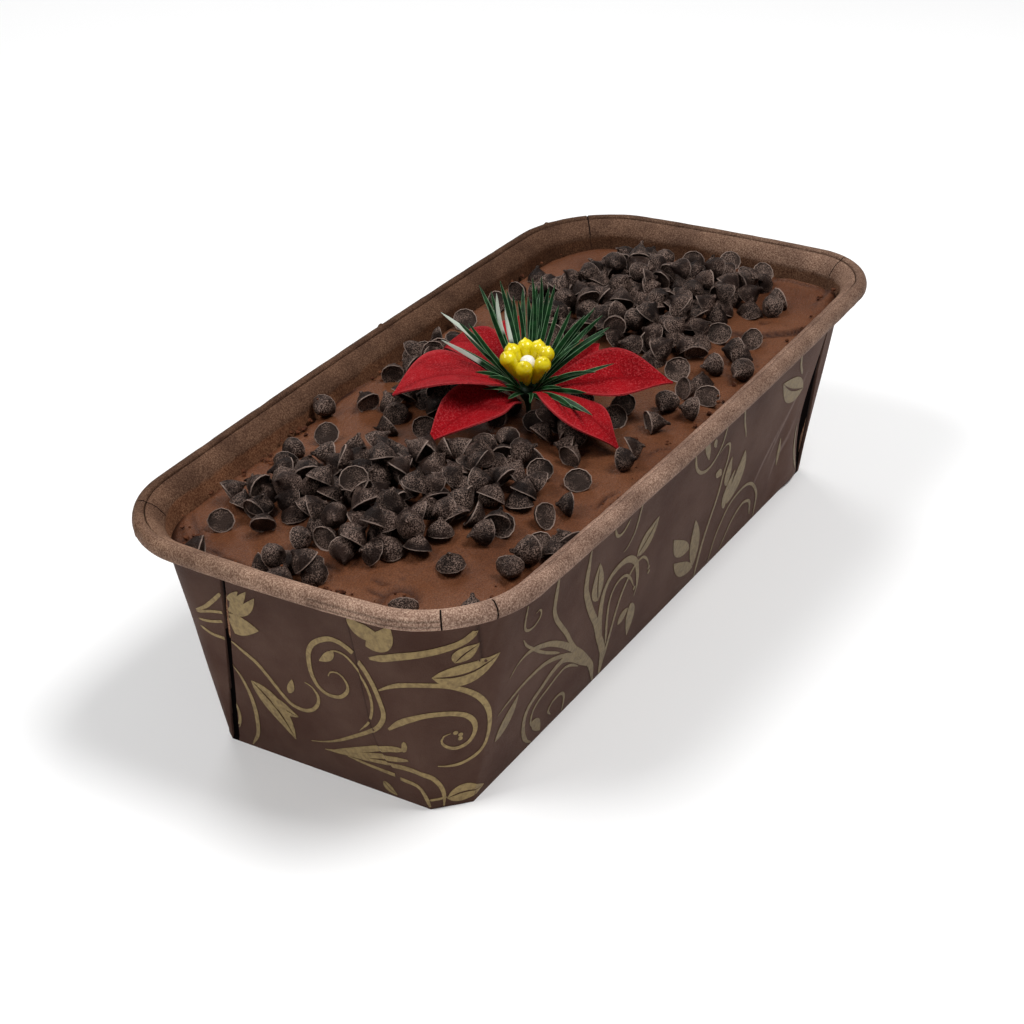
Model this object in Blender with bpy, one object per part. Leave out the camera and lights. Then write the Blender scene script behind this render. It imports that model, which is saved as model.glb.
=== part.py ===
"""Chocolate loaf cake in its printed paper mould.

The cake is solid and fills a tapered paper mould with a rolled rim. Its frosted top carries two
heaps of chocolate chips, and between them stands an artificial poinsettia: red petals, green
needles and a ring of yellow stamen beads round a white one. Lengths are in millimetres until a
mesh is made, +X is the long way, +Z is up, and the origin is at the middle of the mould's foot.
"""

import bmesh
import bpy
import math
import numpy as np
from collections import namedtuple
from mathutils import Matrix, Vector
from mathutils.bvhtree import BVHTree

MM = 0.001
GAP = 0.4
CORNER_SIGNS = ((1, 1), (-1, 1), (-1, -1), (1, -1))

# The paper mould. Corners are listed anticlockwise from the one at +X and +Y.
RIM_LENGTH = 200.0
RIM_WIDTH = 99.4
RIM_HEIGHT = 58.1
RIM_CORNERS = (24.0, 21.0, 23.0, 18.0)
END_BOW = 2.2
SIDE_BOW = 1.8
BEAD_WIDTH = 3.4
BEAD_HEIGHT = 4.2
BEAD_ANGLES = range(-120, 151, 45)
WALL_TOP = 53.0
WALL_MIDDLE = 25.0
WALL_INSET = 5.9
PAPER = 0.8
FOOT_LENGTH = 170.2
FOOT_WIDTH = 62.0
FOOT_CHAMFERS = ((6.5, 6.5), (1.6, 2.2), (6.5, 6.5), (2.5, 2.5))
CORNER_STEPS = 7
SIDE_STEPS = 8
END_STEPS = 4

# How far in from the rim's outer edge, and how high, the flange turns
FLANGE_UNDER = (3.8, 54.6)
FLANGE_GROOVE = (3.7, 56.0)
FLANGE_TOP = (5.4, 54.9)

# The frosted cake. A heap has its middle, its half sizes and how high the frosting mounds there.
Heap = namedtuple("Heap", "x y half_x half_y height")
FROSTING_EDGE = 50.4
FROSTING_TOP = 51.6
FROSTING_SIDE_STEPS = 15
FROSTING_SHARES = (0.975, 0.93, 0.85, 0.74, 0.62, 0.50, 0.38, 0.26, 0.14)
HEAPS = (
    Heap(-48.0, -1.0, 37.0, 35.0, 4.5),
    Heap(-2.0, 10.0, 26.0, 24.0, 0.5),
    Heap(52.0, 4.0, 38.0, 34.0, 4.5),
)

# The chips
CHIP_RADIUS = 3.3
CHIP_SHOULDER = 0.8
CHIP_HEIGHT = 5.3
CHIP_TIP_LEAN = 0.8
CHIP_SIDES = 6
CHIP_SPACING = 5.0
CHIP_LIFTS = (0.9, 2.6)
CHIP_COUNT = 188
CHIP_SEED = 11
MOST_DRAWS = 20000
CHIP_TO_WALL = 0.8
CHIP_TO_FLOWER = 1.2

# Chips that lie alone round the heaps, as places on the frosting
STRAYS = (
    (-81, -35.5), (-66.5, -34), (-57.5, -35), (-52.5, -38), (-60.5, -31), (-49.5, -31),
    (-40.5, -31.5), (-29.5, -30.5), (-19.5, -36), (-15, -34), (-8.5, -34.5), (-29, -23),
    (-74.5, -25), (-87, -24), (-86, 3), (-87, 9), (-86, -3), (-78, 8.5), (-78, -4),
    (-79.5, 30.5), (-69, 34), (-64, 29), (-56.5, 31), (-50, 33), (-37, 33.5), (-20.5, 34),
    (-12.5, 31), (-6.5, 35.5), (-28, 38), (10.5, 36), (31, 35), (0, -31.5), (9.5, -29.5),
    (5.5, -35.5), (11, -36), (20.5, -37), (21.5, -31), (32.5, -30.5), (33, -37.5),
    (42.5, -34), (51.5, -31), (28.5, -24), (41, -24), (69.5, -25), (87, -16), (86, 1),
)

# The flower
HUB = (-7.1, -3.8, 57.0)
HUB_SIDES = 10
HUB_PROFILE = ((1.2, -1.5), (2.5, 0.0), (2.5, 2.0), (1.4, 3.0))
STEM_CLEAR = 1.6
PETAL_START = 3.5
PETAL_THICK = 0.7
PETAL_ROOT = 0.75
PETAL_TIP = 0.25
PETAL_ROWS = 7
PETAL_ACROSS = (-1.0, -0.5, 0.0, 0.5, 1.0)
PETAL_STEPS = 24
NEEDLE_WIDTH = 1.2
NEEDLE_TIP = 0.4
NEEDLE_START = (1.7, 2.0)
NEEDLE_SAG = 0.6

# Angles are in degrees. A petal bends from its first rise to its last along its length.
Petal = namedtuple("Petal", "heading length width rise tip_rise roll fold turn foot")
PETALS = {
    "petal_left_front": Petal(174, 31.2, 12.0, 28.5, -19.5, -20, 21, -6.5, 57.3),
    "petal_left": Petal(134.5, 30.0, 28.5, 44.5, -28, 10, 7, 5, 58.9),
    "petal_left_back": Petal(62, 37.0, 8.7, 29, -42, -27, 12, 6.5, 58.5),
    "petal_back": Petal(41.5, 35.2, 10.6, 25.5, -15, 35, -23, -16, 56.9),
    "petal_right_back": Petal(-3.7, 29.4, 10.2, 9.5, -4.5, 40.5, 34.5, 8.5, 55.0),
    "petal_right": Petal(-59, 30.0, 13.0, 13.5, -6.5, 29, 22, -13, 59.1),
    "petal_right_front": Petal(-112, 28.3, 14.3, 23.5, -52.5, -14, -5, 19, 59.6),
}

# Heading and rise in degrees, then length
NEEDLES = (
    (100, 44, 27), (112, 38, 23), (95, 50, 24), (84, 52, 22), (75, 56, 26), (64, 58, 24),
    (56, 55, 26), (46, 58, 24), (33, 56, 25), (22, 58, 27), (13, 55, 27), (0, 54, 26),
    (-20, 50, 20), (-34, 46, 25), (-40, 38, 24), (-58, 36, 20), (-76, 34, 16), (-150, 42, 9),
    (128, 46, 13), (150, 50, 11),
)

# The stamens lean towards the front, which is this heading
BEAD_RING = (-7.2, -4.3, 67.0)
BEAD_RING_RADIUS = 4.4
BEAD_RING_TILT = 9.0
BEAD_RING_FACING = -146.5
BEAD_RADIUS = 1.95
BEAD_COUNT = 8
CUP_SIDES = 12
CUP_PROFILE = ((1.5, -6.2), (3.0, -4.2), (5.0, -0.8), (4.0, 0.2), (2.9, -0.8), (2.1, -3.6))
PEARL_RADIUS = 1.8
PEARL_DEPTH = 1.3

# Base colour and roughness of each finish
COLOURS = {
    "paper_mould": ((0.075, 0.045, 0.034), 0.75),
    "frosted_cake": ((0.090, 0.042, 0.026), 0.60),
    "pick_needles": ((0.020, 0.075, 0.022), 0.45),
    "stamen_beads": ((0.720, 0.560, 0.020), 0.30),
    "stamen_pearl": ((0.850, 0.840, 0.800), 0.35),
    "petals": ((0.400, 0.010, 0.018), 0.70),
}


# --- making and joining solids ---

def finish(name):
    """One plain material for each finish."""
    colour, roughness = COLOURS[name]
    material = bpy.data.materials.new(name)
    material.use_nodes = True
    shader = material.node_tree.nodes["Principled BSDF"]
    shader.inputs["Base Color"].default_value = (*colour, 1.0)
    shader.inputs["Roughness"].default_value = roughness
    return material


def add_solid(name, points, faces, material=None):
    """A mesh object from points in millimetres."""
    mesh = bpy.data.meshes.new(name)
    mesh.from_pydata([tuple(float(value) * MM for value in point) for point in points], [], faces)
    mesh.validate()
    solid = bpy.data.objects.new(name, mesh)
    bpy.context.scene.collection.objects.link(solid)
    if material:
        mesh.materials.append(material)
    return solid


def band(first, second, count):
    """The quads between two rings of points that start at these indices."""
    return [
        (first + i, first + (i + 1) % count, second + (i + 1) % count, second + i)
        for i in range(count)
    ]


def stack(name, rings, material=None, lid=None):
    """A closed solid through rings of as many points each. The lid is the last ring's faces."""
    count = len(rings[0])
    last = (len(rings) - 1) * count
    faces = [tuple(range(count))[::-1]]
    for start in range(0, last, count):
        faces += band(start, start + count, count)
    for face in lid or [range(count)]:
        faces.append(tuple(last + index for index in face))
    return add_solid(name, [point for ring in rings for point in ring], faces, material)


def ring_round(centre, first, second, radius, sides):
    """A round ring of points in the plane of two directions."""
    angles = [2 * math.pi * k / sides for k in range(sides)]
    return [
        Vector(centre) + (first * math.cos(angle) + second * math.sin(angle)) * radius
        for angle in angles
    ]


def fuse(base, pieces):
    """Unites the pieces with the base in one Boolean and removes them."""
    group = bpy.data.collections.new(base.name + "_pieces")
    bpy.context.scene.collection.children.link(group)
    for piece in pieces:
        for home in list(piece.users_collection):
            home.objects.unlink(piece)
        group.objects.link(piece)
    join = base.modifiers.new("join", "BOOLEAN")
    join.operation = "UNION"
    join.operand_type = "COLLECTION"
    join.collection = group
    join.solver = "MANIFOLD"
    with bpy.context.temp_override(object=base, active_object=base, selected_objects=[base]):
        bpy.ops.object.modifier_apply(modifier=join.name)
    for piece in list(group.objects):
        bpy.data.objects.remove(piece, do_unlink=True)
    bpy.data.collections.remove(group)


def keep_largest(solid):
    """Drops loose scraps, and the walls of sealed hollows, which fills them."""
    shape = bmesh.new()
    shape.from_mesh(solid.data)
    waiting = set(shape.verts)
    groups = []
    while waiting:
        group = [waiting.pop()]
        for vertex in group:
            for edge in vertex.link_edges:
                other = edge.other_vert(vertex)
                if other in waiting:
                    waiting.remove(other)
                    group.append(other)
        groups.append(group)
    groups.sort(key=len)
    bmesh.ops.delete(shape, geom=[v for group in groups[:-1] for v in group], context="VERTS")
    shape.to_mesh(solid.data)
    shape.free()


# --- the mould: outlines with matching points, anticlockwise from the +X end ---

def spread_sides(corners, side_steps):
    """Adds the points along the sides and the ends between the four corners' points."""
    points = []
    steps = (side_steps, END_STEPS, side_steps, END_STEPS)
    for index, corner in enumerate(corners):
        points += corner
        start = Vector(corner[-1])
        end = Vector(corners[(index + 1) % 4][0])
        points += [tuple(start.lerp(end, k / steps[index])) for k in range(1, steps[index])]
    return points


def rim_outline(inset, side_steps=SIDE_STEPS):
    """The rounded, slightly bowed outline of the rim in plan, this far inside its outer edge."""
    half_length = RIM_LENGTH / 2 - END_BOW - inset
    half_width = RIM_WIDTH / 2 - SIDE_BOW - inset
    corners = []
    for index, (side_x, side_y) in enumerate(CORNER_SIGNS):
        radius = RIM_CORNERS[index] - inset
        centre_x = side_x * (half_length - radius)
        centre_y = side_y * (half_width - radius)
        angles = [math.radians(90 * (index + k / CORNER_STEPS)) for k in range(CORNER_STEPS + 1)]
        corners.append([
            (centre_x + radius * math.cos(angle), centre_y + radius * math.sin(angle))
            for angle in angles
        ])
    bowed = []
    for x, y in spread_sides(corners, side_steps):
        along = min(1.0, abs(x) / half_length)
        across = min(1.0, abs(y) / half_width)
        bowed.append((
            x + math.copysign(END_BOW * along ** 4 * (1 - across ** 2), x),
            y + math.copysign(SIDE_BOW * across ** 2 * (1 - along ** 2), y),
        ))
    return bowed


def foot_outline(inset, side_steps):
    """The chamfered outline of the foot in plan, this far inside its outer edge."""
    half_length = FOOT_LENGTH / 2 - inset
    half_width = FOOT_WIDTH / 2 - inset
    corners = []
    for index, (side_x, side_y) in enumerate(CORNER_SIGNS):
        cut_x, cut_y = FOOT_CHAMFERS[index]
        on_end = Vector((side_x * half_length, side_y * (half_width - cut_y)))
        on_side = Vector((side_x * (half_length - cut_x), side_y * half_width))
        first, last = (on_end, on_side) if index % 2 == 0 else (on_side, on_end)
        corners.append([tuple(first.lerp(last, k / CORNER_STEPS)) for k in range(CORNER_STEPS + 1)])
    return spread_sides(corners, side_steps)


def wall_ring(height, inset, side_steps=SIDE_STEPS):
    """The wall at this height, this far inside its outer face."""
    share = height / WALL_TOP
    foot = foot_outline(inset, side_steps)
    top = rim_outline(WALL_INSET + inset, side_steps)
    return [
        (a[0] + (b[0] - a[0]) * share, a[1] + (b[1] - a[1]) * share, height)
        for a, b in zip(foot, top)
    ]


def rim_ring(inset, height):
    return [(x, y, height) for x, y in rim_outline(inset)]


def build_mould(name):
    """Outer wall up, round the rolled bead, and down the inner wall to the paper's floor."""
    rings = [wall_ring(height, 0) for height in (0, WALL_MIDDLE, WALL_TOP)]
    rings.append(rim_ring(*FLANGE_UNDER))
    for angle in BEAD_ANGLES:
        turn = math.radians(angle)
        inset = BEAD_WIDTH / 2 * (1 - math.cos(turn))
        rings.append(rim_ring(inset, RIM_HEIGHT - BEAD_HEIGHT / 2 * (1 - math.sin(turn))))
    rings += [rim_ring(*FLANGE_GROOVE), rim_ring(*FLANGE_TOP)]
    rings += [wall_ring(height, PAPER) for height in (WALL_TOP, WALL_MIDDLE, PAPER)]
    return stack(name, rings, finish(name))


# --- the frosted cake ---

def heap_share(heap, x, y):
    """1 at the middle of a heap, 0 at its edge and outside it."""
    distance = math.hypot((x - heap.x) / heap.half_x, (y - heap.y) / heap.half_y)
    return max(0.0, 1 - distance * distance)


def frosting_height(x, y):
    """The frosting's height at a place: shallow knife waves, and a low mound under each heap."""
    waves = 0.35 * math.sin(x / 9 + y / 14) + 0.25 * math.sin(y / 6 - x / 23)
    mounds = sum(heap.height * heap_share(heap, x, y) ** 0.8 for heap in HEAPS)
    return FROSTING_TOP + waves + mounds


def build_cake(name):
    """The loaf inside the paper: its sides, then frosting rings that shrink onto a middle line."""
    inset = PAPER + GAP
    sides = [
        wall_ring(height, inset, FROSTING_SIDE_STEPS)
        for height in (PAPER + GAP, WALL_MIDDLE, FROSTING_EDGE)
    ]
    edge = sides[-1]
    middle_line = max(point[0] for point in edge) - max(point[1] for point in edge)
    rings = list(sides)
    for share in FROSTING_SHARES:
        ring = []
        for x, y, _ in edge:
            middle = max(-middle_line, min(middle_line, x))
            x = middle + (x - middle) * share
            y = y * share
            ring.append((x, y, frosting_height(x, y)))
        rings.append(ring)
    count = len(edge)
    half = 2 * (CORNER_STEPS + 1) + FROSTING_SIDE_STEPS - 1
    seam = [(i, i + 1, count - END_STEPS - i - 1, count - END_STEPS - i) for i in range(half - 1)]
    seam.append(tuple(range(half - 1, half + END_STEPS)))
    seam.append((*range(count - END_STEPS, count), 0))
    return stack(name, rings, finish(name), seam)


# --- the flower ---

def petal_direction(petal, share):
    """The pitch and the yaw of a petal's middle line, this share along it."""
    pitch = math.radians(petal.rise + (petal.tip_rise - petal.rise) * share)
    return pitch, math.radians(petal.turn * share)


def ahead_of(pitch, yaw):
    return Vector((math.cos(pitch) * math.cos(yaw), math.cos(pitch) * math.sin(yaw), math.sin(pitch)))


def petal_row(petal, share):
    """The points across a petal's middle surface and the upward direction, at this share."""
    centre = Vector((PETAL_START, 0, petal.foot))
    steps = max(1, round(PETAL_STEPS * share))
    for k in range(steps):
        part = share * (k + 0.5) / steps
        centre += ahead_of(*petal_direction(petal, part)) * (share * petal.length / steps)
    pitch, yaw = petal_direction(petal, share)
    ahead = ahead_of(pitch, yaw)
    level = Vector((-math.sin(yaw), math.cos(yaw), 0))
    turned = Matrix.Rotation(math.radians(petal.heading), 3, "Z")
    tilted = turned @ Matrix.Rotation(math.radians(petal.roll), 3, ahead)
    left = tilted @ level
    up = tilted @ ahead.cross(level)
    centre = turned @ centre + Vector((HUB[0], HUB[1], 0))
    bulge = abs(math.sin(math.pi * share ** 1.1)) ** 1.4
    half_width = petal.width / 2 * bulge + PETAL_ROOT * (1 - share) + PETAL_TIP
    fold = math.radians(petal.fold)
    points = []
    for v in PETAL_ACROSS:
        ripple = 0.35 * math.sin(9 * share + 2 * v) * abs(v) * math.sin(math.pi * share)
        rise = abs(v) ** 1.3 * half_width * math.sin(fold) + ripple
        points.append(centre + left * (v * half_width * math.cos(fold)) + up * rise)
    return points, up


def build_petal(name, petal, material):
    """A thin wavy solid: two faces split into triangles alike, joined along the edge."""
    top = []
    bottom = []
    for i in range(PETAL_ROWS + 1):
        points, up = petal_row(petal, i / PETAL_ROWS)
        top += [point + up * (PETAL_THICK / 2) for point in points]
        bottom += [point - up * (PETAL_THICK / 2) for point in points]
    width = len(PETAL_ACROSS)
    under = len(top)
    faces = []
    for i in range(PETAL_ROWS):
        for j in range(width - 1):
            a = i * width + j
            b, c, d = a + 1, a + width, a + width + 1
            faces += [(a, d, b), (a, c, d)]
            faces += [(a + under, b + under, d + under), (a + under, d + under, c + under)]
    edge = list(range(width))
    edge += [i * width + width - 1 for i in range(1, PETAL_ROWS + 1)]
    edge += [PETAL_ROWS * width + j for j in range(width - 2, -1, -1)]
    edge += [i * width for i in range(PETAL_ROWS - 1, 0, -1)]
    for a, b in zip(edge, edge[1:] + edge[:1]):
        faces += [(a, b, b + under), (a, b + under, a + under)]
    return add_solid(name, top + bottom, faces, material)


def build_needle(name, heading, rise, length):
    """A thin four-sided needle that leans out from the hub and narrows at its tip."""
    pitch = math.radians(rise)
    out = Vector((math.cos(math.radians(heading)), math.sin(math.radians(heading)), 0))
    ahead = out * math.cos(pitch) + Vector((0, 0, math.sin(pitch)))
    across = ahead.cross(Vector((0, 0, 1))).normalized()
    upward = ahead.cross(across)
    start_out, start_up = NEEDLE_START
    start = Vector(HUB) + out * start_out + Vector((0, 0, start_up))
    middle = start + ahead * (length / 2) + Vector((0, 0, NEEDLE_SAG))
    centres = (start, middle, start + ahead * length)
    widths = (NEEDLE_WIDTH, NEEDLE_WIDTH, NEEDLE_TIP)
    rings = [
        ring_round(centre, across, upward, width / 2, 4) for centre, width in zip(centres, widths)
    ]
    return stack(name, rings)


def build_needles(name):
    """The pick's green hub on its stem, with the needles fused to it."""
    x, y, z = HUB
    stem_radius = HUB_PROFILE[0][0]
    heights = [(stem_radius, frosting_height(x, y) + STEM_CLEAR)]
    heights += [(radius, z + height) for radius, height in HUB_PROFILE]
    rings = [
        ring_round((x, y, height), Vector((1, 0, 0)), Vector((0, 1, 0)), radius, HUB_SIDES)
        for radius, height in heights
    ]
    hub = stack(name, rings, finish(name))
    fuse(hub, [build_needle(f"needle_{k}", *needle) for k, needle in enumerate(NEEDLES)])
    return hub


def ring_axes():
    """The stamen ring's axis, which leans to the front, and two directions across it."""
    lean = math.radians(BEAD_RING_TILT)
    facing = math.radians(BEAD_RING_FACING)
    front = Vector((math.cos(facing), math.sin(facing), 0))
    axis = (Vector((0, 0, 1)) * math.cos(lean) + front * math.sin(lean)).normalized()
    first = front.cross(axis).normalized()
    return axis, first, axis.cross(first)


def build_beads(name):
    """The yellow stamens: a cup whose ring of beads is fused on."""
    axis, first, second = ring_axes()
    middle = Vector(BEAD_RING)
    rings = [
        ring_round(middle + axis * height, first, second, radius, CUP_SIDES)
        for radius, height in CUP_PROFILE
    ]
    cup = stack(name, rings, finish(name))
    beads = []
    for centre in ring_round(middle, first, second, BEAD_RING_RADIUS, BEAD_COUNT):
        bpy.ops.mesh.primitive_uv_sphere_add(
            segments=6, ring_count=5, radius=BEAD_RADIUS * MM, location=centre * MM
        )
        bead = bpy.context.active_object
        bead.rotation_euler = axis.to_track_quat("Z", "Y").to_euler()
        beads.append(bead)
    bpy.context.view_layer.update()
    fuse(cup, beads)
    return cup


def build_pearl(name):
    """The white bead in the middle of the stamens."""
    centre = Vector(BEAD_RING) - ring_axes()[0] * PEARL_DEPTH
    bpy.ops.mesh.primitive_ico_sphere_add(subdivisions=2, radius=PEARL_RADIUS * MM)
    pearl = bpy.context.active_object
    pearl.name = name
    pearl.data.name = name
    pearl.data.transform(Matrix.Translation(centre * MM))
    pearl.data.materials.append(finish(name))
    return pearl


# --- the chips ---

def build_chip(name, place, axis, spin):
    """A teardrop chip: flat round foot, shoulder and a tip that leans over."""
    outward = Vector(axis).normalized()
    turn = outward.to_track_quat("Z", "Y").to_matrix() @ Matrix.Rotation(spin, 3, "Z")
    points = []
    for radius, height in ((CHIP_RADIUS, 0.0), (CHIP_RADIUS * CHIP_SHOULDER, CHIP_HEIGHT * 0.45)):
        centre = (0, 0, height)
        points += ring_round(centre, Vector((1, 0, 0)), Vector((0, 1, 0)), radius, CHIP_SIDES)
    points.append(Vector((CHIP_TIP_LEAN, 0.0, CHIP_HEIGHT)))
    middle = Vector((0, 0, CHIP_HEIGHT * 0.35))
    points = [place + turn @ (point - middle) for point in points]
    tip = 2 * CHIP_SIDES
    faces = [tuple(range(CHIP_SIDES))[::-1]]
    faces += band(0, CHIP_SIDES, CHIP_SIDES)
    faces += [(CHIP_SIDES + k, CHIP_SIDES + (k + 1) % CHIP_SIDES, tip) for k in range(CHIP_SIDES)]
    return add_solid(name, points, faces)


def chip_poses():
    """Place, axis and spin of each chip to try: the strays, then a seeded draw over the heaps."""
    draw = np.random.RandomState(CHIP_SEED)
    for x, y in STRAYS:
        pitch = draw.uniform(-0.5, 0.9)
        heading = draw.uniform(0, 2 * math.pi)
        place = Vector((x, y, frosting_height(x, y) + sum(CHIP_LIFTS) / 2))
        yield place, ahead_of(pitch, heading), draw.uniform(0, 2 * math.pi)
    for _ in range(MOST_DRAWS):
        x = draw.uniform(-RIM_LENGTH / 2, RIM_LENGTH / 2)
        y = draw.uniform(-RIM_WIDTH / 2, RIM_WIDTH / 2)
        if max(heap_share(heap, x, y) for heap in HEAPS) > 0.02:
            place = Vector((x, y, frosting_height(x, y) + draw.uniform(*CHIP_LIFTS)))
            yield place, draw.normal(size=3) + (0, 0, 0.3), draw.uniform(0, 2 * math.pi)


def inside_mould(chip):
    """True when every point of the chip is clear of the mould's wall."""
    for vertex in chip.data.vertices:
        x, y, z = vertex.co / MM
        ring = wall_ring(min(z, WALL_TOP), PAPER + CHIP_TO_WALL)
        crossings = 0
        for (ax, ay, _), (bx, by, _) in zip(ring, ring[1:] + ring[:1]):
            if (ay > y) != (by > y) and x < (bx - ax) * (y - ay) / (by - ay) + ax:
                crossings += 1
        if crossings % 2 == 0:
            return False
    return True


def surface_tree(pieces):
    """The surfaces of several pieces, to measure distances to."""
    vertices = []
    faces = []
    for piece in pieces:
        start = len(vertices)
        vertices += [vertex.co.copy() for vertex in piece.data.vertices]
        faces += [[start + index for index in face.vertices] for face in piece.data.polygons]
    return BVHTree.FromPolygons(vertices, faces)


def clear_of(tree, chip):
    """True when the chip keeps clear of what the tree holds."""
    return all(
        tree.find_nearest(vertex.co)[3] > CHIP_TO_FLOWER * MM for vertex in chip.data.vertices
    )


def build_chips(flower):
    """As many chips as the object holds, apart from each other and clear of wall and flower."""
    tree = surface_tree(flower)
    places = []
    chips = []
    for place, axis, spin in chip_poses():
        if len(chips) == CHIP_COUNT:
            break
        if any((place - other).length < CHIP_SPACING for other in places):
            continue
        chip = build_chip(f"chip_{len(chips)}", place, axis, spin)
        if inside_mould(chip) and clear_of(tree, chip):
            chips.append(chip)
            places.append(place)
        else:
            bpy.data.objects.remove(chip, do_unlink=True)
    return chips


for leftover in list(bpy.data.objects):
    bpy.data.objects.remove(leftover, do_unlink=True)

build_mould("paper_mould")
cake = build_cake("frosted_cake")
red = finish("petals")
flower = [build_petal(name, petal, red) for name, petal in PETALS.items()]
flower += [build_needles("pick_needles"), build_beads("stamen_beads"), build_pearl("stamen_pearl")]
fuse(cake, build_chips(flower))
keep_largest(cake)
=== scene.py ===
"""A chocolate loaf cake in its printed paper mould, with chips and an artificial poinsettia.

Each section makes one part, in the order in which the cake is put together: the table and lights
that it is seen in, the paper mould, its gold print, the frosted loaf, the chips, the crumbs, and
the flower from its petals to its stamens. Shapes are worked out in millimetres.
"""

import math

import bpy
import numpy as np
from mathutils import Matrix, Vector, noise


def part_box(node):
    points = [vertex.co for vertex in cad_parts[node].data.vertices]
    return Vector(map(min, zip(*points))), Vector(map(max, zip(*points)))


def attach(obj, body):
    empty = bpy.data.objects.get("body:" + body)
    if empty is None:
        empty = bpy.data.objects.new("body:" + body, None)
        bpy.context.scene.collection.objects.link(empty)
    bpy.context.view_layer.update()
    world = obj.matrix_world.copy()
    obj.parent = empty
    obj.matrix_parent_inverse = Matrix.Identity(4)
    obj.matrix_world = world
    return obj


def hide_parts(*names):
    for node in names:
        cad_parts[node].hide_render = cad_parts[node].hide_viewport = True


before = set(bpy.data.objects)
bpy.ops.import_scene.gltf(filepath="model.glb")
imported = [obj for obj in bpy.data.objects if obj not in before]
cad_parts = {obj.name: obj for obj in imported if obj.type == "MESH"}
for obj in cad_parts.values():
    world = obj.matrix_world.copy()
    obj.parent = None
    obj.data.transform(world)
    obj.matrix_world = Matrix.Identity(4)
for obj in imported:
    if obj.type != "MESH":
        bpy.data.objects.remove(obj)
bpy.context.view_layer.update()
bpy.ops.object.select_all(action="DESELECT")


# The table and the light. A wide pale table top, a soft lamp high on the right, a weaker one on the
# left and a third behind, and a camera that looks down on the mould's near corner.
MM = 0.001
TABLE_SIZE = 6.0
TABLE_COLOUR = (0.93, 0.93, 0.93)
CAMERA_AT = (-0.35716, -0.22934, 0.26746)
CAMERA_HEADING = -56.50
CAMERA_LOOKS_DOWN = 30.02
CAMERA_ROLL = -3.30
CAMERA_LENS = 71.5
ROOM_LIGHT = 0.18

# Each lamp has its heading and height seen from the cake in degrees, distance, size and power
LAMPS = {
    "lamp_above": (-75.0, 64.0, 1.1, 0.4, 8.7),
    "lamp_left": (150.0, 56.0, 1.2, 0.4, 6.6),
    "lamp_behind": (50.0, 40.0, 1.2, 0.5, 3.3),
}

bpy.ops.mesh.primitive_plane_add(size=TABLE_SIZE, location=(0, 0, 0))
table = bpy.context.active_object
table.name = "table_top"
table_paint = bpy.data.materials.new("pale_table")
table_paint.use_nodes = True
table_shader = table_paint.node_tree.nodes["Principled BSDF"]
table_shader.inputs["Base Color"].default_value = (*TABLE_COLOUR, 1)
table_shader.inputs["Roughness"].default_value = 0.9
table_shader.inputs["Specular IOR Level"].default_value = 0.1
table.data.materials.append(table_paint)

world = bpy.data.worlds.new("studio")
world.use_nodes = True
world.node_tree.nodes["Background"].inputs["Color"].default_value = (1, 1, 1, 1)
world.node_tree.nodes["Background"].inputs["Strength"].default_value = ROOM_LIGHT
bpy.context.scene.world = world
bpy.context.scene.view_settings.view_transform = "Standard"

for name, (heading, height, distance, size, power) in LAMPS.items():
    flat = distance * math.cos(math.radians(height))
    place = Vector((
        flat * math.cos(math.radians(heading)),
        flat * math.sin(math.radians(heading)),
        distance * math.sin(math.radians(height)),
    ))
    bpy.ops.object.light_add(type="AREA", location=place)
    lamp = bpy.context.active_object
    lamp.name = name
    lamp.rotation_euler = place.to_track_quat("Z", "Y").to_euler()
    lamp.data.size = size
    lamp.data.energy = power

view_turn = Matrix.Rotation(math.radians(CAMERA_HEADING), 3, "Z")
view_turn = view_turn @ Matrix.Rotation(math.radians(90 - CAMERA_LOOKS_DOWN), 3, "X")
view_turn = view_turn @ Matrix.Rotation(math.radians(CAMERA_ROLL), 3, "Z")
bpy.ops.object.camera_add(location=CAMERA_AT, rotation=view_turn.to_euler())
camera = bpy.context.active_object
camera.data.lens = CAMERA_LENS
camera.data.clip_start = 0.01
bpy.context.scene.camera = camera
PHOTO_HALF = 512
SENSOR_HALF = camera.data.sensor_width / 2


def seen_at(across, down, height):
    """The point at this height, in millimetres, that shows at a pixel of the photo."""
    reach = SENSOR_HALF / CAMERA_LENS / PHOTO_HALF
    ray = view_turn @ Vector(((across - PHOTO_HALF) * reach, (PHOTO_HALF - down) * reach, -1))
    start = Vector(CAMERA_AT) / MM
    return start + ray * ((height - start.z) / ray.z)


# The paper mould: one sheet of dark brown kraft paper, printed outside, folded up to a tray and
# rolled over at the rim. A flat grid is wrapped round: up the outside, over the bead and down the
# inside. A place along the outline runs from 0 to 8, with its corners at 0, 2, 4 and 6.
mould_low, mould_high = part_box("paper_mould")
RIM_LENGTH = (mould_high.x - mould_low.x) / MM
RIM_WIDTH = (mould_high.y - mould_low.y) / MM
RIM_HEIGHT = mould_high.z / MM
CORNER_SIGNS = ((1, 1), (-1, 1), (-1, -1), (1, -1))
RIM_CORNERS = (24.0, 21.0, 23.0, 18.0)
END_BOW = 2.2
SIDE_BOW = 1.8
BEAD_WIDTH = 3.4
BEAD_HEIGHT = 4.2
WALL_TOP = 53.0
WALL_INSET = 5.9
PAPER = 0.8
FOOT_LENGTH = 170.2
FOOT_WIDTH = 62.0
FOOT_CHAMFERS = ((6.5, 6.5), (1.6, 2.2), (6.5, 6.5), (2.5, 2.5))
COLUMNS = (20, 120, 22, 60, 26, 120, 24, 40)
FINE_COLUMNS = 0.006
OUTER_ROWS = 41
BEAD_STEPS = 22

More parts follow.
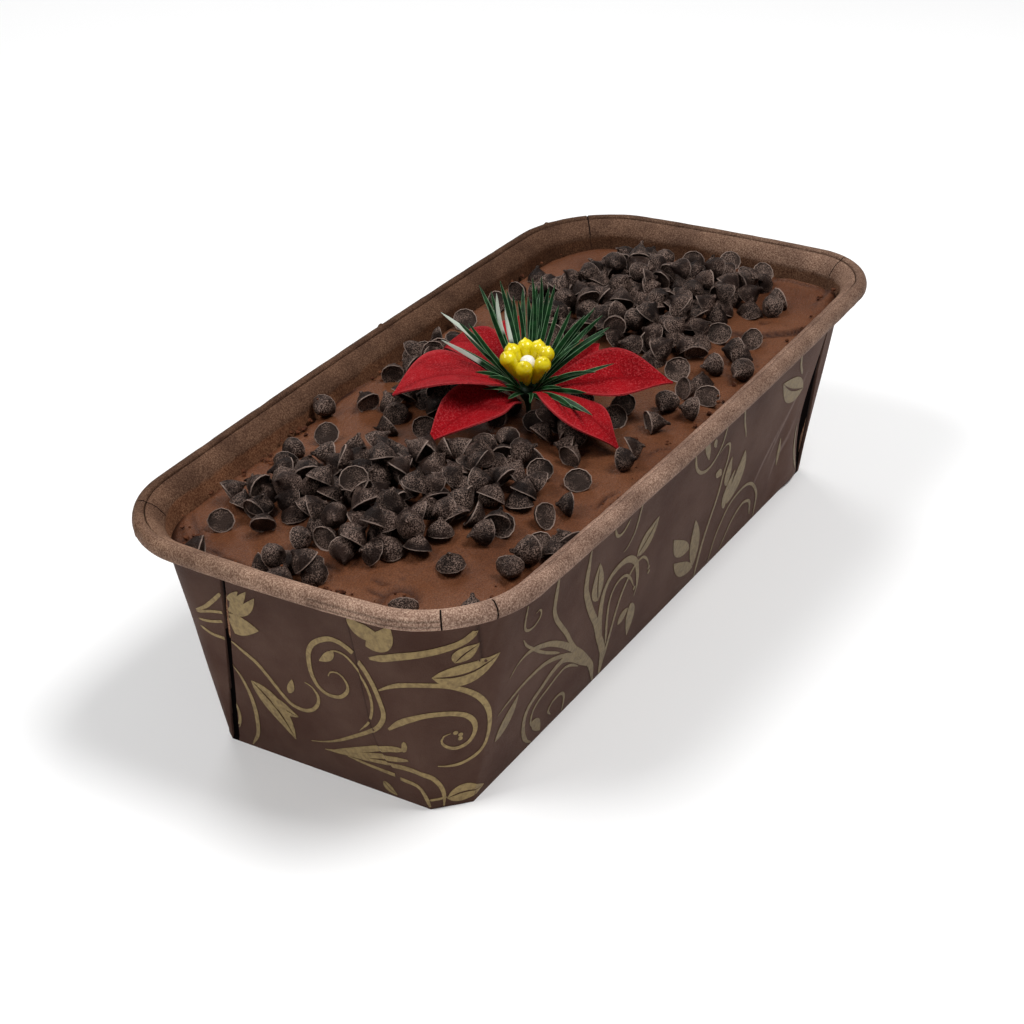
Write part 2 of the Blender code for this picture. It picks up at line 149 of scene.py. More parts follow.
# The bead's cracks, the seams that cross the whole fold under it, and its small lumps
BEAD_CRACKS = (4.38, 4.68)
FLANGE_SEAMS = (0.42, 2.33, 6.72)
BEAD_LUMPS = (0.74, 1.43, 2.62)
CRACK_HALF = 0.28
INNER_HEIGHTS = (53.9, 53.4, 52.9, 52.4, 51.8, 51.0, 49.5, 47.0, 30.0, PAPER)
INNER_TINT_TOP = 53.6


def rim_at(place, inset):
    """The rim's outline in plan at a place along it, this far inside its outer edge."""
    half_length = RIM_LENGTH / 2 - END_BOW - inset
    half_width = RIM_WIDTH / 2 - SIDE_BOW - inset

    def on_corner(index, share):
        radius = RIM_CORNERS[index] - inset
        angle = math.radians(90 * (index + share))
        side_x, side_y = CORNER_SIGNS[index]
        return (
            side_x * (half_length - radius) + radius * math.cos(angle),
            side_y * (half_width - radius) + radius * math.sin(angle),
        )

    step, share = divmod(place % 8, 1)
    index = int(step) // 2
    if step % 2 == 0:
        x, y = on_corner(index, share)
    else:
        start_x, start_y = on_corner(index, 1)
        end_x, end_y = on_corner((index + 1) % 4, 0)
        x = start_x + (end_x - start_x) * share
        y = start_y + (end_y - start_y) * share
    along = min(1.0, abs(x) / half_length)
    across = min(1.0, abs(y) / half_width)
    return (
        x + math.copysign(END_BOW * along ** 4 * (1 - across ** 2), x),
        y + math.copysign(SIDE_BOW * across ** 2 * (1 - along ** 2), y),
    )


def foot_at(place, inset):
    """The foot's outline in plan, with its cut corners, at a place along it."""
    half_length = FOOT_LENGTH / 2 - inset
    half_width = FOOT_WIDTH / 2 - inset

    def on_corner(index, share):
        side_x, side_y = CORNER_SIGNS[index]
        cut_x, cut_y = FOOT_CHAMFERS[index]
        on_end = (side_x * half_length, side_y * (half_width - cut_y))
        on_side = (side_x * (half_length - cut_x), side_y * half_width)
        start, end = (on_end, on_side) if index % 2 == 0 else (on_side, on_end)
        return tuple(a + (b - a) * share for a, b in zip(start, end))

    step, share = divmod(place % 8, 1)
    index = int(step) // 2
    if step % 2 == 0:
        return on_corner(index, share)
    start = on_corner(index, 1)
    end = on_corner((index + 1) % 4, 0)
    return tuple(a + (b - a) * share for a, b in zip(start, end))


def wall_at(place, height, inset=0.0):
    """A point of the wall's flat outer face, or this far inside it."""
    share = height / WALL_TOP
    foot = foot_at(place, inset)
    rim = rim_at(place, WALL_INSET + inset)
    return Vector((
        foot[0] + (rim[0] - foot[0]) * share, foot[1] + (rim[1] - foot[1]) * share, height
    ))


def wall_out(place, height):
    """The direction in which the wall faces."""
    along = wall_at(place + 0.01, height) - wall_at(place - 0.01, height)
    up = wall_at(place, height + 1) - wall_at(place, height)
    return along.cross(up).normalized()


def step_up(value, start, end):
    """0 below the start, 1 above the end, and smooth between them."""
    share = min(1.0, max(0.0, (value - start) / (end - start)))
    return share * share * (3 - 2 * share)


# Three folds: the dark slit at the left corner, the flap's edge near the front corner, and the
# open pleat at the right corner. The spans are the millimetres in one step of place along an end,
# a side and a corner
END_SPAN = 52.0
SIDE_SPAN = 156.0
CORNER_SPAN = 18.0
SLIT_DEPTH = 0.75
FLAP_LIFT = 0.40

# The paper's own waves: depth, width, height and start
PAPER_WAVES = ((0.30, 26, 22, 0), (0.10, 8, 13, 7))

# The side bulges beside the pleat and dips further off: rise, distance from the pleat's edge at the
# foot, lean, half width and the heights between which it fades out
PLEAT_BULGES = ((0.8, -4, -0.12, 5, 10, 46), (-0.4, -14, 0.15, 3, 12, 40))

# Two short creases come down from the rim at the front corner: the place and height of their top,
# lean, half width, depth, painted shade and the heights between which they start
SHORT_CREASES = ((4.67, 47, 0.008, 0.30, 0.35, 0.4, 36, 40), (4.84, 48, -0.012, 0.4, 0.30, 0.0, 40, 44))


def left_slit(height):
    """The slit's middle, which leans out from the foot to the rim."""
    return 3.018 + 0.156 * height / 48


def flap_edge(height):
    """The flap's edge, which is straight but for its swing to the corner at the foot."""
    return 3.79 + 0.19 * max(0.0, 1 - height / 20) ** 2


# The pleat's two edges as places at these heights, and how sharply the paper drops there
PLEAT_EDGE = 0.0015
PLEAT_HEIGHTS = (0, 5, 10, 17, 23, 28, 34, 38, 44, 47)
PLEAT_STARTS = (5.988, 5.974, 5.960, 5.947, 5.939, 5.941, 5.951, 5.961, 5.976, 5.980)
PLEAT_ENDS = (5.994, 5.999, 5.998, 5.995, 5.988, 5.981, 5.975, 5.975, 5.982, 5.981)


def right_pleat(height):
    """The pleat's two edges, which are furthest apart below its middle."""
    around = np.array((height - 3, height, height + 3))
    return (
        float(np.interp(around, PLEAT_HEIGHTS, PLEAT_STARTS).mean()),
        float(np.interp(around, PLEAT_HEIGHTS, PLEAT_ENDS).mean()),
    )


def wall_relief(place, height):
    """How far the paper stands out of the wall here, and how much painted shade a fold gives it."""
    x, y, z = wall_at(place, height)
    relief = 0.0
    for depth, wide, tall, first in PAPER_WAVES:
        relief += depth * noise.noise(Vector((x / wide, y / wide, z / tall + first)))
    off_slit = (place - left_slit(height)) * END_SPAN
    channel = max(0.0, 1 - abs(off_slit / (1.0 - 0.008 * height)) ** 4)
    relief -= SLIT_DEPTH * channel
    past_flap = (place - flap_edge(height)) * END_SPAN
    relief += FLAP_LIFT * step_up(past_flap, 0.0, 0.25) * (1 - step_up(place, 3.95, 4.5))
    flap_line = 0.75 * max(0.0, 1 - abs(past_flap + 0.1) / 0.35)
    start, end = right_pleat(height)
    open_part = step_up(place, start - PLEAT_EDGE, start + PLEAT_EDGE)
    open_part *= 1 - step_up(place, end - PLEAT_EDGE, end)
    relief -= SLIT_DEPTH * open_part
    for rise, away, lean, half, low, high in PLEAT_BULGES:
        off_bulge = ((place - start) * SIDE_SPAN - away - lean * height) / half
        relief += rise * math.exp(-off_bulge ** 2) * (1 - step_up(height, low, high))
    # The slit, the flap's edge and the open pleat are painted dark: painted shade
    dark = max(channel, flap_line, open_part)
    for spot, top, lean, half, depth, shade, low, high in SHORT_CREASES:
        off_crease = (place - spot - lean * (top - height)) * CORNER_SPAN / half
        crease = math.exp(-off_crease ** 2) * step_up(height, low, high)
        relief -= depth * crease
        dark = max(dark, shade * crease)
    return relief, dark


# Where the side was bent beside the pleat, its creases are painted pale, a painted highlight on their
# ridges: each line's ends, as their distance from the pleat and their height
CREASE_HIGHLIGHT_LINES = (((-20.0, 16.0), (-4.0, 40.0)), ((-15.0, 8.0), (-8.0, 26.0)), ((-26.0, 12.0), (-13.0, 30.0)))
CREASE_HIGHLIGHT_HALF = 0.7
PLEAT_PLACE = 5.96


def crease_highlight(place, height):
    """1 on a painted highlight line beside the pleat, 0 away from it."""
    off_pleat = (place - PLEAT_PLACE) * SIDE_SPAN
    shade = 0.0
    for (start_off, start_height), (end_off, end_height) in CREASE_HIGHLIGHT_LINES:
        share = (height - start_height) / (end_height - start_height)
        if 0 < share < 1:
            away = off_pleat - start_off - (end_off - start_off) * share ** 1.5
            shade = max(shade, math.exp(-(away / CREASE_HIGHLIGHT_HALF) ** 2) * math.sin(math.pi * share))
    return shade


def wall_point(place, height, lift=0.0):
    """A point of the creased outer face, lifted off it by a little."""
    settle = min(1.0, height / 1.5)
    relief, _ = wall_relief(place, height)
    return wall_at(place, height) + wall_out(place, height) * (relief * settle + lift)


PART_LENGTHS = [math.dist(rim_at(part, 0), rim_at(part + 0.999, 0)) for part in range(8)]


def near_any(place, spots, half):
    """1 at one of these places along the rim, and 0 from this many millimetres on."""
    away = min(abs(place - spot) * PART_LENGTHS[int(spot)] for spot in spots)
    return max(0.0, 1 - away / half)


def add_shade(mesh, name, values):
    """A value for every point of a mesh, which its material reads by this name."""
    layer = mesh.attributes.new(name, "FLOAT", "POINT")
    layer.data.foreach_set("value", values)


def wrap_sheet(name, rings, shades=()):
    """A grid whose rows are wrapped into closed rings of points, with both ends filled.

    Each shade is a name and, ring by ring, a value for every point."""
    count = len(rings[0])
    bpy.ops.mesh.primitive_grid_add(x_subdivisions=count, y_subdivisions=len(rings) - 1, size=1)
    piece = bpy.context.active_object
    piece.name = name
    piece.data.name = name
    points = np.array([[tuple(point) for point in ring + ring[:1]] for ring in rings])
    piece.data.vertices.foreach_set("co", (points * MM).ravel())
    for shade, rows in shades:
        add_shade(piece.data, shade, [value for row in rows for value in row + row[:1]])
    bpy.ops.object.mode_set(mode="EDIT")
    bpy.ops.mesh.select_all(action="SELECT")
    bpy.ops.mesh.remove_doubles(threshold=0.000002)
    bpy.ops.mesh.fill_holes(sides=0)
    bpy.ops.mesh.select_all(action="SELECT")
    bpy.ops.mesh.normals_make_consistent(inside=False)
    bpy.ops.object.mode_set(mode="OBJECT")
    return piece


def select_only(piece):
    """Selects one piece and makes it the active one."""
    bpy.ops.object.select_all(action="DESELECT")
    piece.select_set(True)
    bpy.context.view_layer.objects.active = piece


def smooth_shade(piece, angle=180):
    """Smooth shading with sharp edges past an angle."""
    select_only(piece)
    bpy.ops.object.shade_smooth_by_angle(angle=math.radians(angle))
    piece.select_set(False)


# The grid's columns stand close together at the folds, cracks and creases. The pleat's are at its
# edges and on both sides of it.
PLEAT_COLUMNS = (5.86, 5.95, 5.98, 6.06)
BESIDE_PLEAT = (5.93, 6.01)
PALE_FROM = 5.78
slit_column = left_slit(25)
flap_column = flap_edge(30)
columns = [part + k / count for part, count in enumerate(COLUMNS) for k in range(count)]
for middle in (slit_column, flap_column, *BESIDE_PLEAT):
    columns += [middle + k * FINE_COLUMNS for k in range(-12, 13)]
columns += [PALE_FROM + k * FINE_COLUMNS / 2 for k in range(30)]
for middle in PLEAT_COLUMNS[1:3]:
    columns += [middle + k * PLEAT_EDGE for k in (-3, -1, 0, 1, 3)]
for middle in BEAD_CRACKS + FLANGE_SEAMS + BEAD_LUMPS:
    columns += [middle + k * CRACK_HALF / 2 / PART_LENGTHS[int(middle)] for k in range(-3, 4)]
columns += [SHORT_CREASES[0][0] + k * 0.008 for k in range(-4, 12)]
columns = sorted(set(round(place, 4) for place in columns))

rings = []
fold_shades = []
crease_highlights = []
for row in range(OUTER_ROWS):
    height = WALL_TOP * row / (OUTER_ROWS - 1)
    leaning = (PLEAT_COLUMNS[0], *right_pleat(height), PLEAT_COLUMNS[3])
    ring = []
    for place in columns:
        # Near a fold the columns lean with it
        place += max(0.0, 1 - abs(place - slit_column) / 0.35) * (left_slit(height) - slit_column)
        place += max(0.0, 1 - abs(place - flap_column) / 0.25) * (flap_edge(height) - flap_column)
        if PLEAT_COLUMNS[0] < place < PLEAT_COLUMNS[3]:
            place = float(np.interp(place, PLEAT_COLUMNS, leaning))
        ring.append(place)
    rings.append([wall_point(place, height) for place in ring])
    fold_shades.append([wall_relief(place, height)[1] for place in ring])
    crease_highlights.append([crease_highlight(place, height) for place in ring])

# The rolled rim as (inset, height): round the bead, through the groove behind it, down the flange
flange = [(3.8, 54.6)]
for step in range(BEAD_STEPS):
    turn = math.radians(-120 + 245 * step / (BEAD_STEPS - 1))
    flange.append((
        BEAD_WIDTH / 2 * (1 - math.cos(turn)), RIM_HEIGHT - BEAD_HEIGHT / 2 * (1 - math.sin(turn))
    ))
flange += [
    (2.72, 57.35), (2.80, 57.00), (2.92, 57.30), (3.1, 57.42), (3.9, 57.05), (4.8, 56.35),
    (5.7, 55.3), (6.4, 54.4),
]
GROOVE_ROW = BEAD_STEPS + 2
GROOVE_SHADE = 0.9

# Two lines of painted shade on the bead's outside near the front, where the roll's edge lies
BEAD_LINE_ROWS = (10, 13)
BEAD_LINE_REACH = (3.7, 4.38)
BEAD_LINE_SHADE = 0.45
CRACK_SHADE = 0.85
SEAM_SHADE_INSIDE = 0.5

# The roll's waves: depth, width and how many rows one of them is high
RIM_WAVES = ((0.16, 7, 4), (0.08, 2.2, 2))
inner_light_and_grease = [[0.0] * len(columns) for _ in range(len(rings) + len(flange))]
for index, (inset, height) in enumerate(flange):
    on_bead = 1 <= index <= BEAD_STEPS
    ring = []
    dark = []
    for place in columns:
        x, y = rim_at(place, 0)
        wave = 0.0
        for depth, wide, high in RIM_WAVES:
            wave += depth * noise.noise(Vector((x / wide, y / wide, index / high)))
        crack = near_any(place, FLANGE_SEAMS + (BEAD_CRACKS if on_bead else ()), CRACK_HALF)
        lump = near_any(place, BEAD_LUMPS, 2 * CRACK_HALF) if on_bead else 0.0
        dip = 0.4 * crack - 0.5 * lump
        x, y = rim_at(place, max(0.0, inset + (wave + dip) * 0.6))
        ring.append(Vector((x, y, height - (dip + abs(wave)) * 0.5)))
        # The groove behind the bead, the roll's edge, the cracks and the seams are painted dark: painted
        # shade
        lined = GROOVE_SHADE if index == GROOVE_ROW else 0.0
        if index in BEAD_LINE_ROWS and BEAD_LINE_REACH[0] < place < BEAD_LINE_REACH[1]:
            lined = BEAD_LINE_SHADE
        dark.append(max(lined, CRACK_SHADE * crack))
    rings.append(ring)
    fold_shades.append(dark)
for height in INNER_HEIGHTS:
    ring = []
    inner_tint = []
    for place in columns:
        x, y, _ = wall_at(place, height, PAPER)
        wave = 0.0
        if height > 47:
            wave = max(0.0, 0.25 * noise.noise(Vector((x / 6, y / 6, height / 4))))
        ring.append(wall_at(place, height, PAPER + wave))
        # Below a ragged line the inner wall takes a tint of painted light, painted shade and grease
        ragged = INNER_TINT_TOP + 0.8 * noise.noise(Vector((x / 9, y / 9, 5.0)))
        ragged += 0.35 * noise.noise(Vector((x / 2.5, y / 2.5, 8.0)))
        inner_tint.append(step_up(ragged - height, -0.3, 0.3))
    rings.append(ring)
    inner_light_and_grease.append(inner_tint)
    # The seams inside the rim are painted dark: painted shade
    seam_shade = SEAM_SHADE_INSIDE if height > 50 else 0.0
    fold_shades.append([seam_shade * near_any(place, FLANGE_SEAMS, CRACK_HALF) for place in columns])
inside = [[0.0 if row < OUTER_ROWS else 1.0] * len(columns) for row in range(len(rings))]
crease_highlights += [[0.0] * len(columns)] * (len(rings) - OUTER_ROWS)
# The flange's band, which faces up, is marked for painted light
lit_band_rows = range(OUTER_ROWS + GROOVE_ROW + 2, OUTER_ROWS + len(flange) + 1)
lit_band = [[1.0 if row in lit_band_rows else 0.0] * len(columns) for row in range(len(rings))]
mould = wrap_sheet(
    "kraft_mould", rings,
    (("fold", fold_shades), ("inside", inside), ("inner_light_and_grease", inner_light_and_grease), ("flange", lit_band), ("crease", crease_highlights)),
)
smooth_shade(mould, 50)


def new_material(name, roughness, specular=0.5):
    """A material with its node tree and its shader, whose nodes are still to be joined."""
    material = bpy.data.materials.new(name)
    material.use_nodes = True
    shader = material.node_tree.nodes["Principled BSDF"]
    shader.inputs["Roughness"].default_value = roughness
    shader.inputs["Specular IOR Level"].default_value = specular
    return material, material.node_tree, shader


def add_node(tree, kind, values=(), links=(), **settings):
    """A node with its settings, its sockets' values and what feeds them."""
    node = tree.nodes.new(kind)
    for key, value in settings.items():
        setattr(node, key, value)
    for socket, value in dict(values).items():
        node.inputs[socket].default_value = value
    for socket, source in dict(links).items():
        tree.links.new(source, node.inputs[socket])
    return node


def grain(tree, scale, detail=4.0, stretch=(1, 1, 1), roughness=0.55):
    """Noise on the object's own coordinates, with features about 1 / scale metres apart."""
    place = add_node(tree, "ShaderNodeTexCoord")
    moved = add_node(
        tree, "ShaderNodeMapping", {"Scale": stretch}, {"Vector": place.outputs["Object"]}
    )
    values = {"Scale": scale, "Detail": detail, "Roughness": roughness}
    return add_node(
        tree, "ShaderNodeTexNoise", values, {"Vector": moved.outputs["Vector"]}
    ).outputs["Fac"]


def ramp(tree, source, *stops):
    """A colour ramp over (position, colour) stops; a plain number is a grey."""
    node = add_node(tree, "ShaderNodeValToRGB", {}, {"Fac": source})
    for index, (position, colour) in enumerate(stops):
        if index < 2:
            stop = node.color_ramp.elements[index]
            stop.position = position
        else:
            stop = node.color_ramp.elements.new(position)
        stop.color = (*colour, 1) if isinstance(colour, tuple) else (colour, colour, colour, 1)
    return node.outputs["Color"]


def mix(tree, first, second, share, blend="MIX"):
    """Two colours mixed; each input is a socket or a plain value."""
    node = add_node(tree, "ShaderNodeMix", data_type="RGBA", blend_type=blend)
    for socket, value in (("Factor", share), ("A", first), ("B", second)):
        entry = [entry for entry in node.inputs if entry.name == socket and entry.enabled][0]
        if isinstance(value, bpy.types.NodeSocket):
            tree.links.new(value, entry)
        elif isinstance(value, tuple):
            entry.default_value = (*value, 1)
        else:
            entry.default_value = value
    return [output for output in node.outputs if output.enabled][0]


def sums(tree, operation, first, second):
    """A sum, product or other arithmetic of two sockets or numbers."""
    node = add_node(tree, "ShaderNodeMath", operation=operation)
    for index, value in enumerate((first, second)):
        if isinstance(value, bpy.types.NodeSocket):
            tree.links.new(value, node.inputs[index])
        else:
            node.inputs[index].default_value = value
    return node.outputs["Value"]


def shade_of(tree, name):
    """A value that each point of the mesh carries."""
    return add_node(tree, "ShaderNodeAttribute", attribute_name=name).outputs["Fac"]


def bump(tree, shader, height, distance, strength=1.0):
    """Relief too fine for the mesh."""
    node = add_node(
        tree, "ShaderNodeBump", {"Distance": distance, "Strength": strength}, {"Height": height}
    )
    tree.links.new(node.outputs["Normal"], shader.inputs["Normal"])


PRINTED_BROWN = (0.064, 0.030, 0.021)
PRINTED_WORN = (0.100, 0.056, 0.041)
PRINTED_CREASE_HIGHLIGHT = (0.210, 0.150, 0.130)
PRINT_FAR_SHEEN = (1.40, 1.45, 1.52)
KRAFT_BROWN = (0.200, 0.120, 0.088)
KRAFT_LIGHT = (0.330, 0.225, 0.170)
KRAFT_DARK = (0.110, 0.060, 0.042)
FOLD_SHADE_BLACK = (0.004, 0.003, 0.003)
INNER_NEAR_PAINTED_LIGHT = (1.90, 1.62, 1.38)
INNER_FAR_SHADE_AND_GREASE = (0.80, 0.66, 0.54)
FLANGE_PAINTED_LIGHT = (1.20, 1.20, 1.20)
FRONT_PAINTED_LIGHT = (1.60, 1.60, 1.55)
EVEN_PART = (0.95, 0.90, 0.86)
DARK_END = (0.72, 0.66, 0.60)
NEAR_SIDE_PAINTED_LIGHT = (1.22, 1.31, 1.38)
EVEN_SIDE = (0.84, 0.86, 0.86)
FAR_SIDE_PAINTED_SHADE = (0.42, 0.36, 0.30)

kraft, tree, shader = new_material("kraft_paper", 0.75, 0.07)
fibres = grain(tree, 3000, 2, (1, 1, 0.8), 0.75)
mottle = grain(tree, 70, 4)
outside = ramp(tree, mottle, (0.35, PRINTED_BROWN), (0.75, PRINTED_WORN))
crease_highlight_share = sums(tree, "MULTIPLY", shade_of(tree, "crease"), 0.7)
bare = ramp(tree, fibres, (0.36, KRAFT_DARK), (0.50, KRAFT_BROWN), (0.64, KRAFT_LIGHT))
stains = ramp(tree, grain(tree, 120, 5), (0.35, (0.55, 0.50, 0.48)), (0.65, (1.1, 1.08, 1.05)))
bare = mix(tree, bare, stains, 0.8, "MULTIPLY")
# The bare paper is painted paler at the front corner and on the near side, painted light, and darker on the
# far side, painted shade; towards the far end it darkens by the paper's own stain
place = add_node(tree, "ShaderNodeTexCoord")
split = add_node(tree, "ShaderNodeSeparateXYZ", {}, {"Vector": place.outputs["Object"]})
along = sums(tree, "ADD", sums(tree, "MULTIPLY", split.outputs["X"], 5.0), 0.5)
across = sums(tree, "ADD", sums(tree, "MULTIPLY", split.outputs["Y"], 10.0), 0.5)
# The print is painted paler and bluer towards the far end: a painted sheen where the light grazes the side
far_sheen = ramp(tree, along, (0.72, 1), (0.97, PRINT_FAR_SHEEN))
outside = mix(tree, outside, far_sheen, 1.0, "MULTIPLY")
# The creases beside the pleat get a painted highlight
outside = mix(tree, outside, PRINTED_CREASE_HIGHLIGHT, crease_highlight_share)
# Painted light at the front corner and near side, painted shade on the far side
by_length = ramp(tree, along, (0.0, FRONT_PAINTED_LIGHT), (0.12, EVEN_PART), (1.0, DARK_END))
bare = mix(tree, bare, by_length, 1.0, "MULTIPLY")
by_width = ramp(tree, across, (0.0, NEAR_SIDE_PAINTED_LIGHT), (0.5, EVEN_SIDE), (1.0, FAR_SIDE_PAINTED_SHADE))
bare = mix(tree, bare, by_width, 1.0, "MULTIPLY")
# The flange's band is painted lighter: painted light
bare = mix(tree, bare, FLANGE_PAINTED_LIGHT, shade_of(tree, "flange"), "MULTIPLY")
unevenly = ramp(tree, mottle, (0.3, 0.7), (0.6, 1))
# Below that line the inner wall is painted lighter towards the front, painted light, and darker towards the
# far end, grease with painted shade
inner_tint_share = sums(tree, "MULTIPLY", shade_of(tree, "inner_light_and_grease"), unevenly)
inner_tint_colour = ramp(tree, along, (0.35, INNER_NEAR_PAINTED_LIGHT), (0.62, INNER_FAR_SHADE_AND_GREASE))
bare = mix(tree, bare, inner_tint_colour, inner_tint_share, "MULTIPLY")
colour = mix(tree, outside, bare, shade_of(tree, "inside"))
# Painted shade in the folds, slits, cracks, seams and the groove behind the bead
colour = mix(tree, colour, FOLD_SHADE_BLACK, shade_of(tree, "fold"))
tree.links.new(colour, shader.inputs["Base Color"])
uneven = sums(tree, "ADD", sums(tree, "MULTIPLY", fibres, 0.3), 0.5)
tree.links.new(uneven, shader.inputs["Roughness"])
bump(tree, shader, sums(tree, "ADD", fibres, sums(tree, "MULTIPLY", mottle, 1.5)), 0.00012)
mould.data.materials.append(kraft)

# No light reaches into the open folds, where the fold's shade is above this
GAP_FROM = 0.6
fold_gap, tree, shader = new_material("fold_gap", 0.9, 0.0)
shader.inputs["Base Color"].default_value = (*FOLD_SHADE_BLACK, 1)
mould.data.materials.append(fold_gap)
shades = [entry.value for entry in mould.data.attributes["fold"].data]
for face in mould.data.polygons:
    if sum(shades[index] for index in face.vertices) > GAP_FROM * len(face.vertices):
        face.material_index = 1
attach(mould, "root")
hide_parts("paper_mould")


# The gold print: matt gold ink in one thin layer on the outside of the mould, in scrolls, stems
# and leaves. A stroke is a thin ribbon along a smooth curve, and a leaf is a wider one. Places
# are millimetres along the wall, measured half-way up from the +X corner, and heights.
INK_LIFT = 0.07
INK_THICK = 0.05
INK_STEP = 0.9
LEAF_STEP = 1.5
PRINT_TOP = 53.0
PRINT_FOOT = 0.35
INK_STOPS_AT = 0.3
LEAF_PARTS = 12
RIB_SHARE = 0.10
WALK_STEPS = 1600

# Each stroke has its width at its start, middle and end, and the points that it passes
END_STROKES = (
    (0.7, 1.0, 0.8, ((188, 37.5), (191, 39.5), (194, 42.3), (197.2, 45.6))),
    (0.6, 0.7, 0.8, ((188, 37), (192, 38.5), (196.5, 39.6))),
    (0.6, 0.7, 0.8, ((188, 35), (191.5, 35.5), (195.8, 37))),
    (0.7, 0.8, 0.9, ((188, 33), (191, 31.8), (195.3, 31.8))),
    (1.0, 1.0, 0.6, (
        (196.3, 31.7), (199.5, 29.7), (202.5, 27.5), (205.5, 23.5), (208, 20), (210, 18.3),
        (213, 18), (215.5, 19.3), (217.3, 21.8), (217.6, 24), (216.5, 26), (214.8, 26.7),
    )),
    (0.5, 1.1, 0.6, (
        (194.8, 24.5), (196.5, 22), (197.8, 18), (198.3, 14), (198.2, 10), (197.3, 5), (194.8, 0.6),
    )),
    (0.4, 0.8, 0.4, ((192.7, 13.3), (193.2, 10), (192.8, 7), (191.8, 5), (190.3, 3))),
    (0.4, 1.3, 0.6, (
        (212.7, 9), (216, 10), (220, 11.8), (225, 15), (230, 18.5), (233, 21.5), (234.7, 25),
        (234.5, 29), (233.3, 34), (231, 38.5), (228.5, 41), (226, 42), (223.5, 41.7), (220, 39.5),
        (218, 36.5), (217.3, 33), (217.3, 30), (218.3, 27), (220.5, 25.4), (223.5, 25.7),
        (225.8, 27.8), (226.5, 30), (225.7, 32), (224.3, 32.8), (222.6, 32.3), (221.8, 31),
    )),
    (0.4, 0.7, 0.5, (
        (227, 17.5), (230, 21), (231.8, 25), (232.3, 29), (231.5, 33), (229.5, 36.5),
        (227.5, 38.6), (225.5, 39), (224, 38.6),
    )),
    (1.7, 1.7, 1.3, ((234.2, 40.3), (238, 41.6), (243, 43.7), (248, 45.3), (251.5, 46.8), (254, 50))),
    (1.1, 1.2, 0.6, (
        (234.9, 32), (238, 34), (241.5, 35.6), (245, 36), (249, 35.3), (252.5, 33), (255.5, 29.8),
        (258, 25.5), (259.3, 21), (259.5, 17), (258.3, 14.5), (255.5, 13), (252, 12.2),
        (248.5, 12.2), (246, 12.6),
    )),
    (1.6, 1.2, 0.5, (
        (235.2, 21.2), (238, 23.8), (241.5, 26.3), (245, 27.6), (249, 27.6), (252.5, 26.3),
        (254.7, 23.8), (255.4, 21), (254.5, 18.5), (252.3, 17.3), (250, 17.3), (248, 18.5),
        (247.4, 20), (248, 21.2), (249.6, 21.7),
    )),
    (0.4, 1.6, 1.6, ((217.5, 7.9), (226, 11.5), (233, 14.7), (238, 16.3))),
    (0.4, 1.5, 1.3, ((216, 7.8), (223, 9), (230, 11.2), (234, 12.2), (238.4, 13.3))),
    (0.5, 1.3, 1.6, (
        (222, 8.2), (231, 9.7), (236, 10.5), (240, 10.6), (243.5, 9.5), (246, 7), (247.3, 4), (247, 0.6),
    )),
    (0.5, 1.0, 1.0, ((222, 8), (230, 7.2), (236, 6.8), (239.5, 6.3), (240.8, 4.5), (241.6, 1.0))),
    (1.4, 1.3, 1.0, ((238.6, 18.8), (238.2, 17), (237.6, 15.6))),
    (0.6, 0.6, 0.6, ((241.5, 3), (245, 2.9), (248.5, 3))),
)
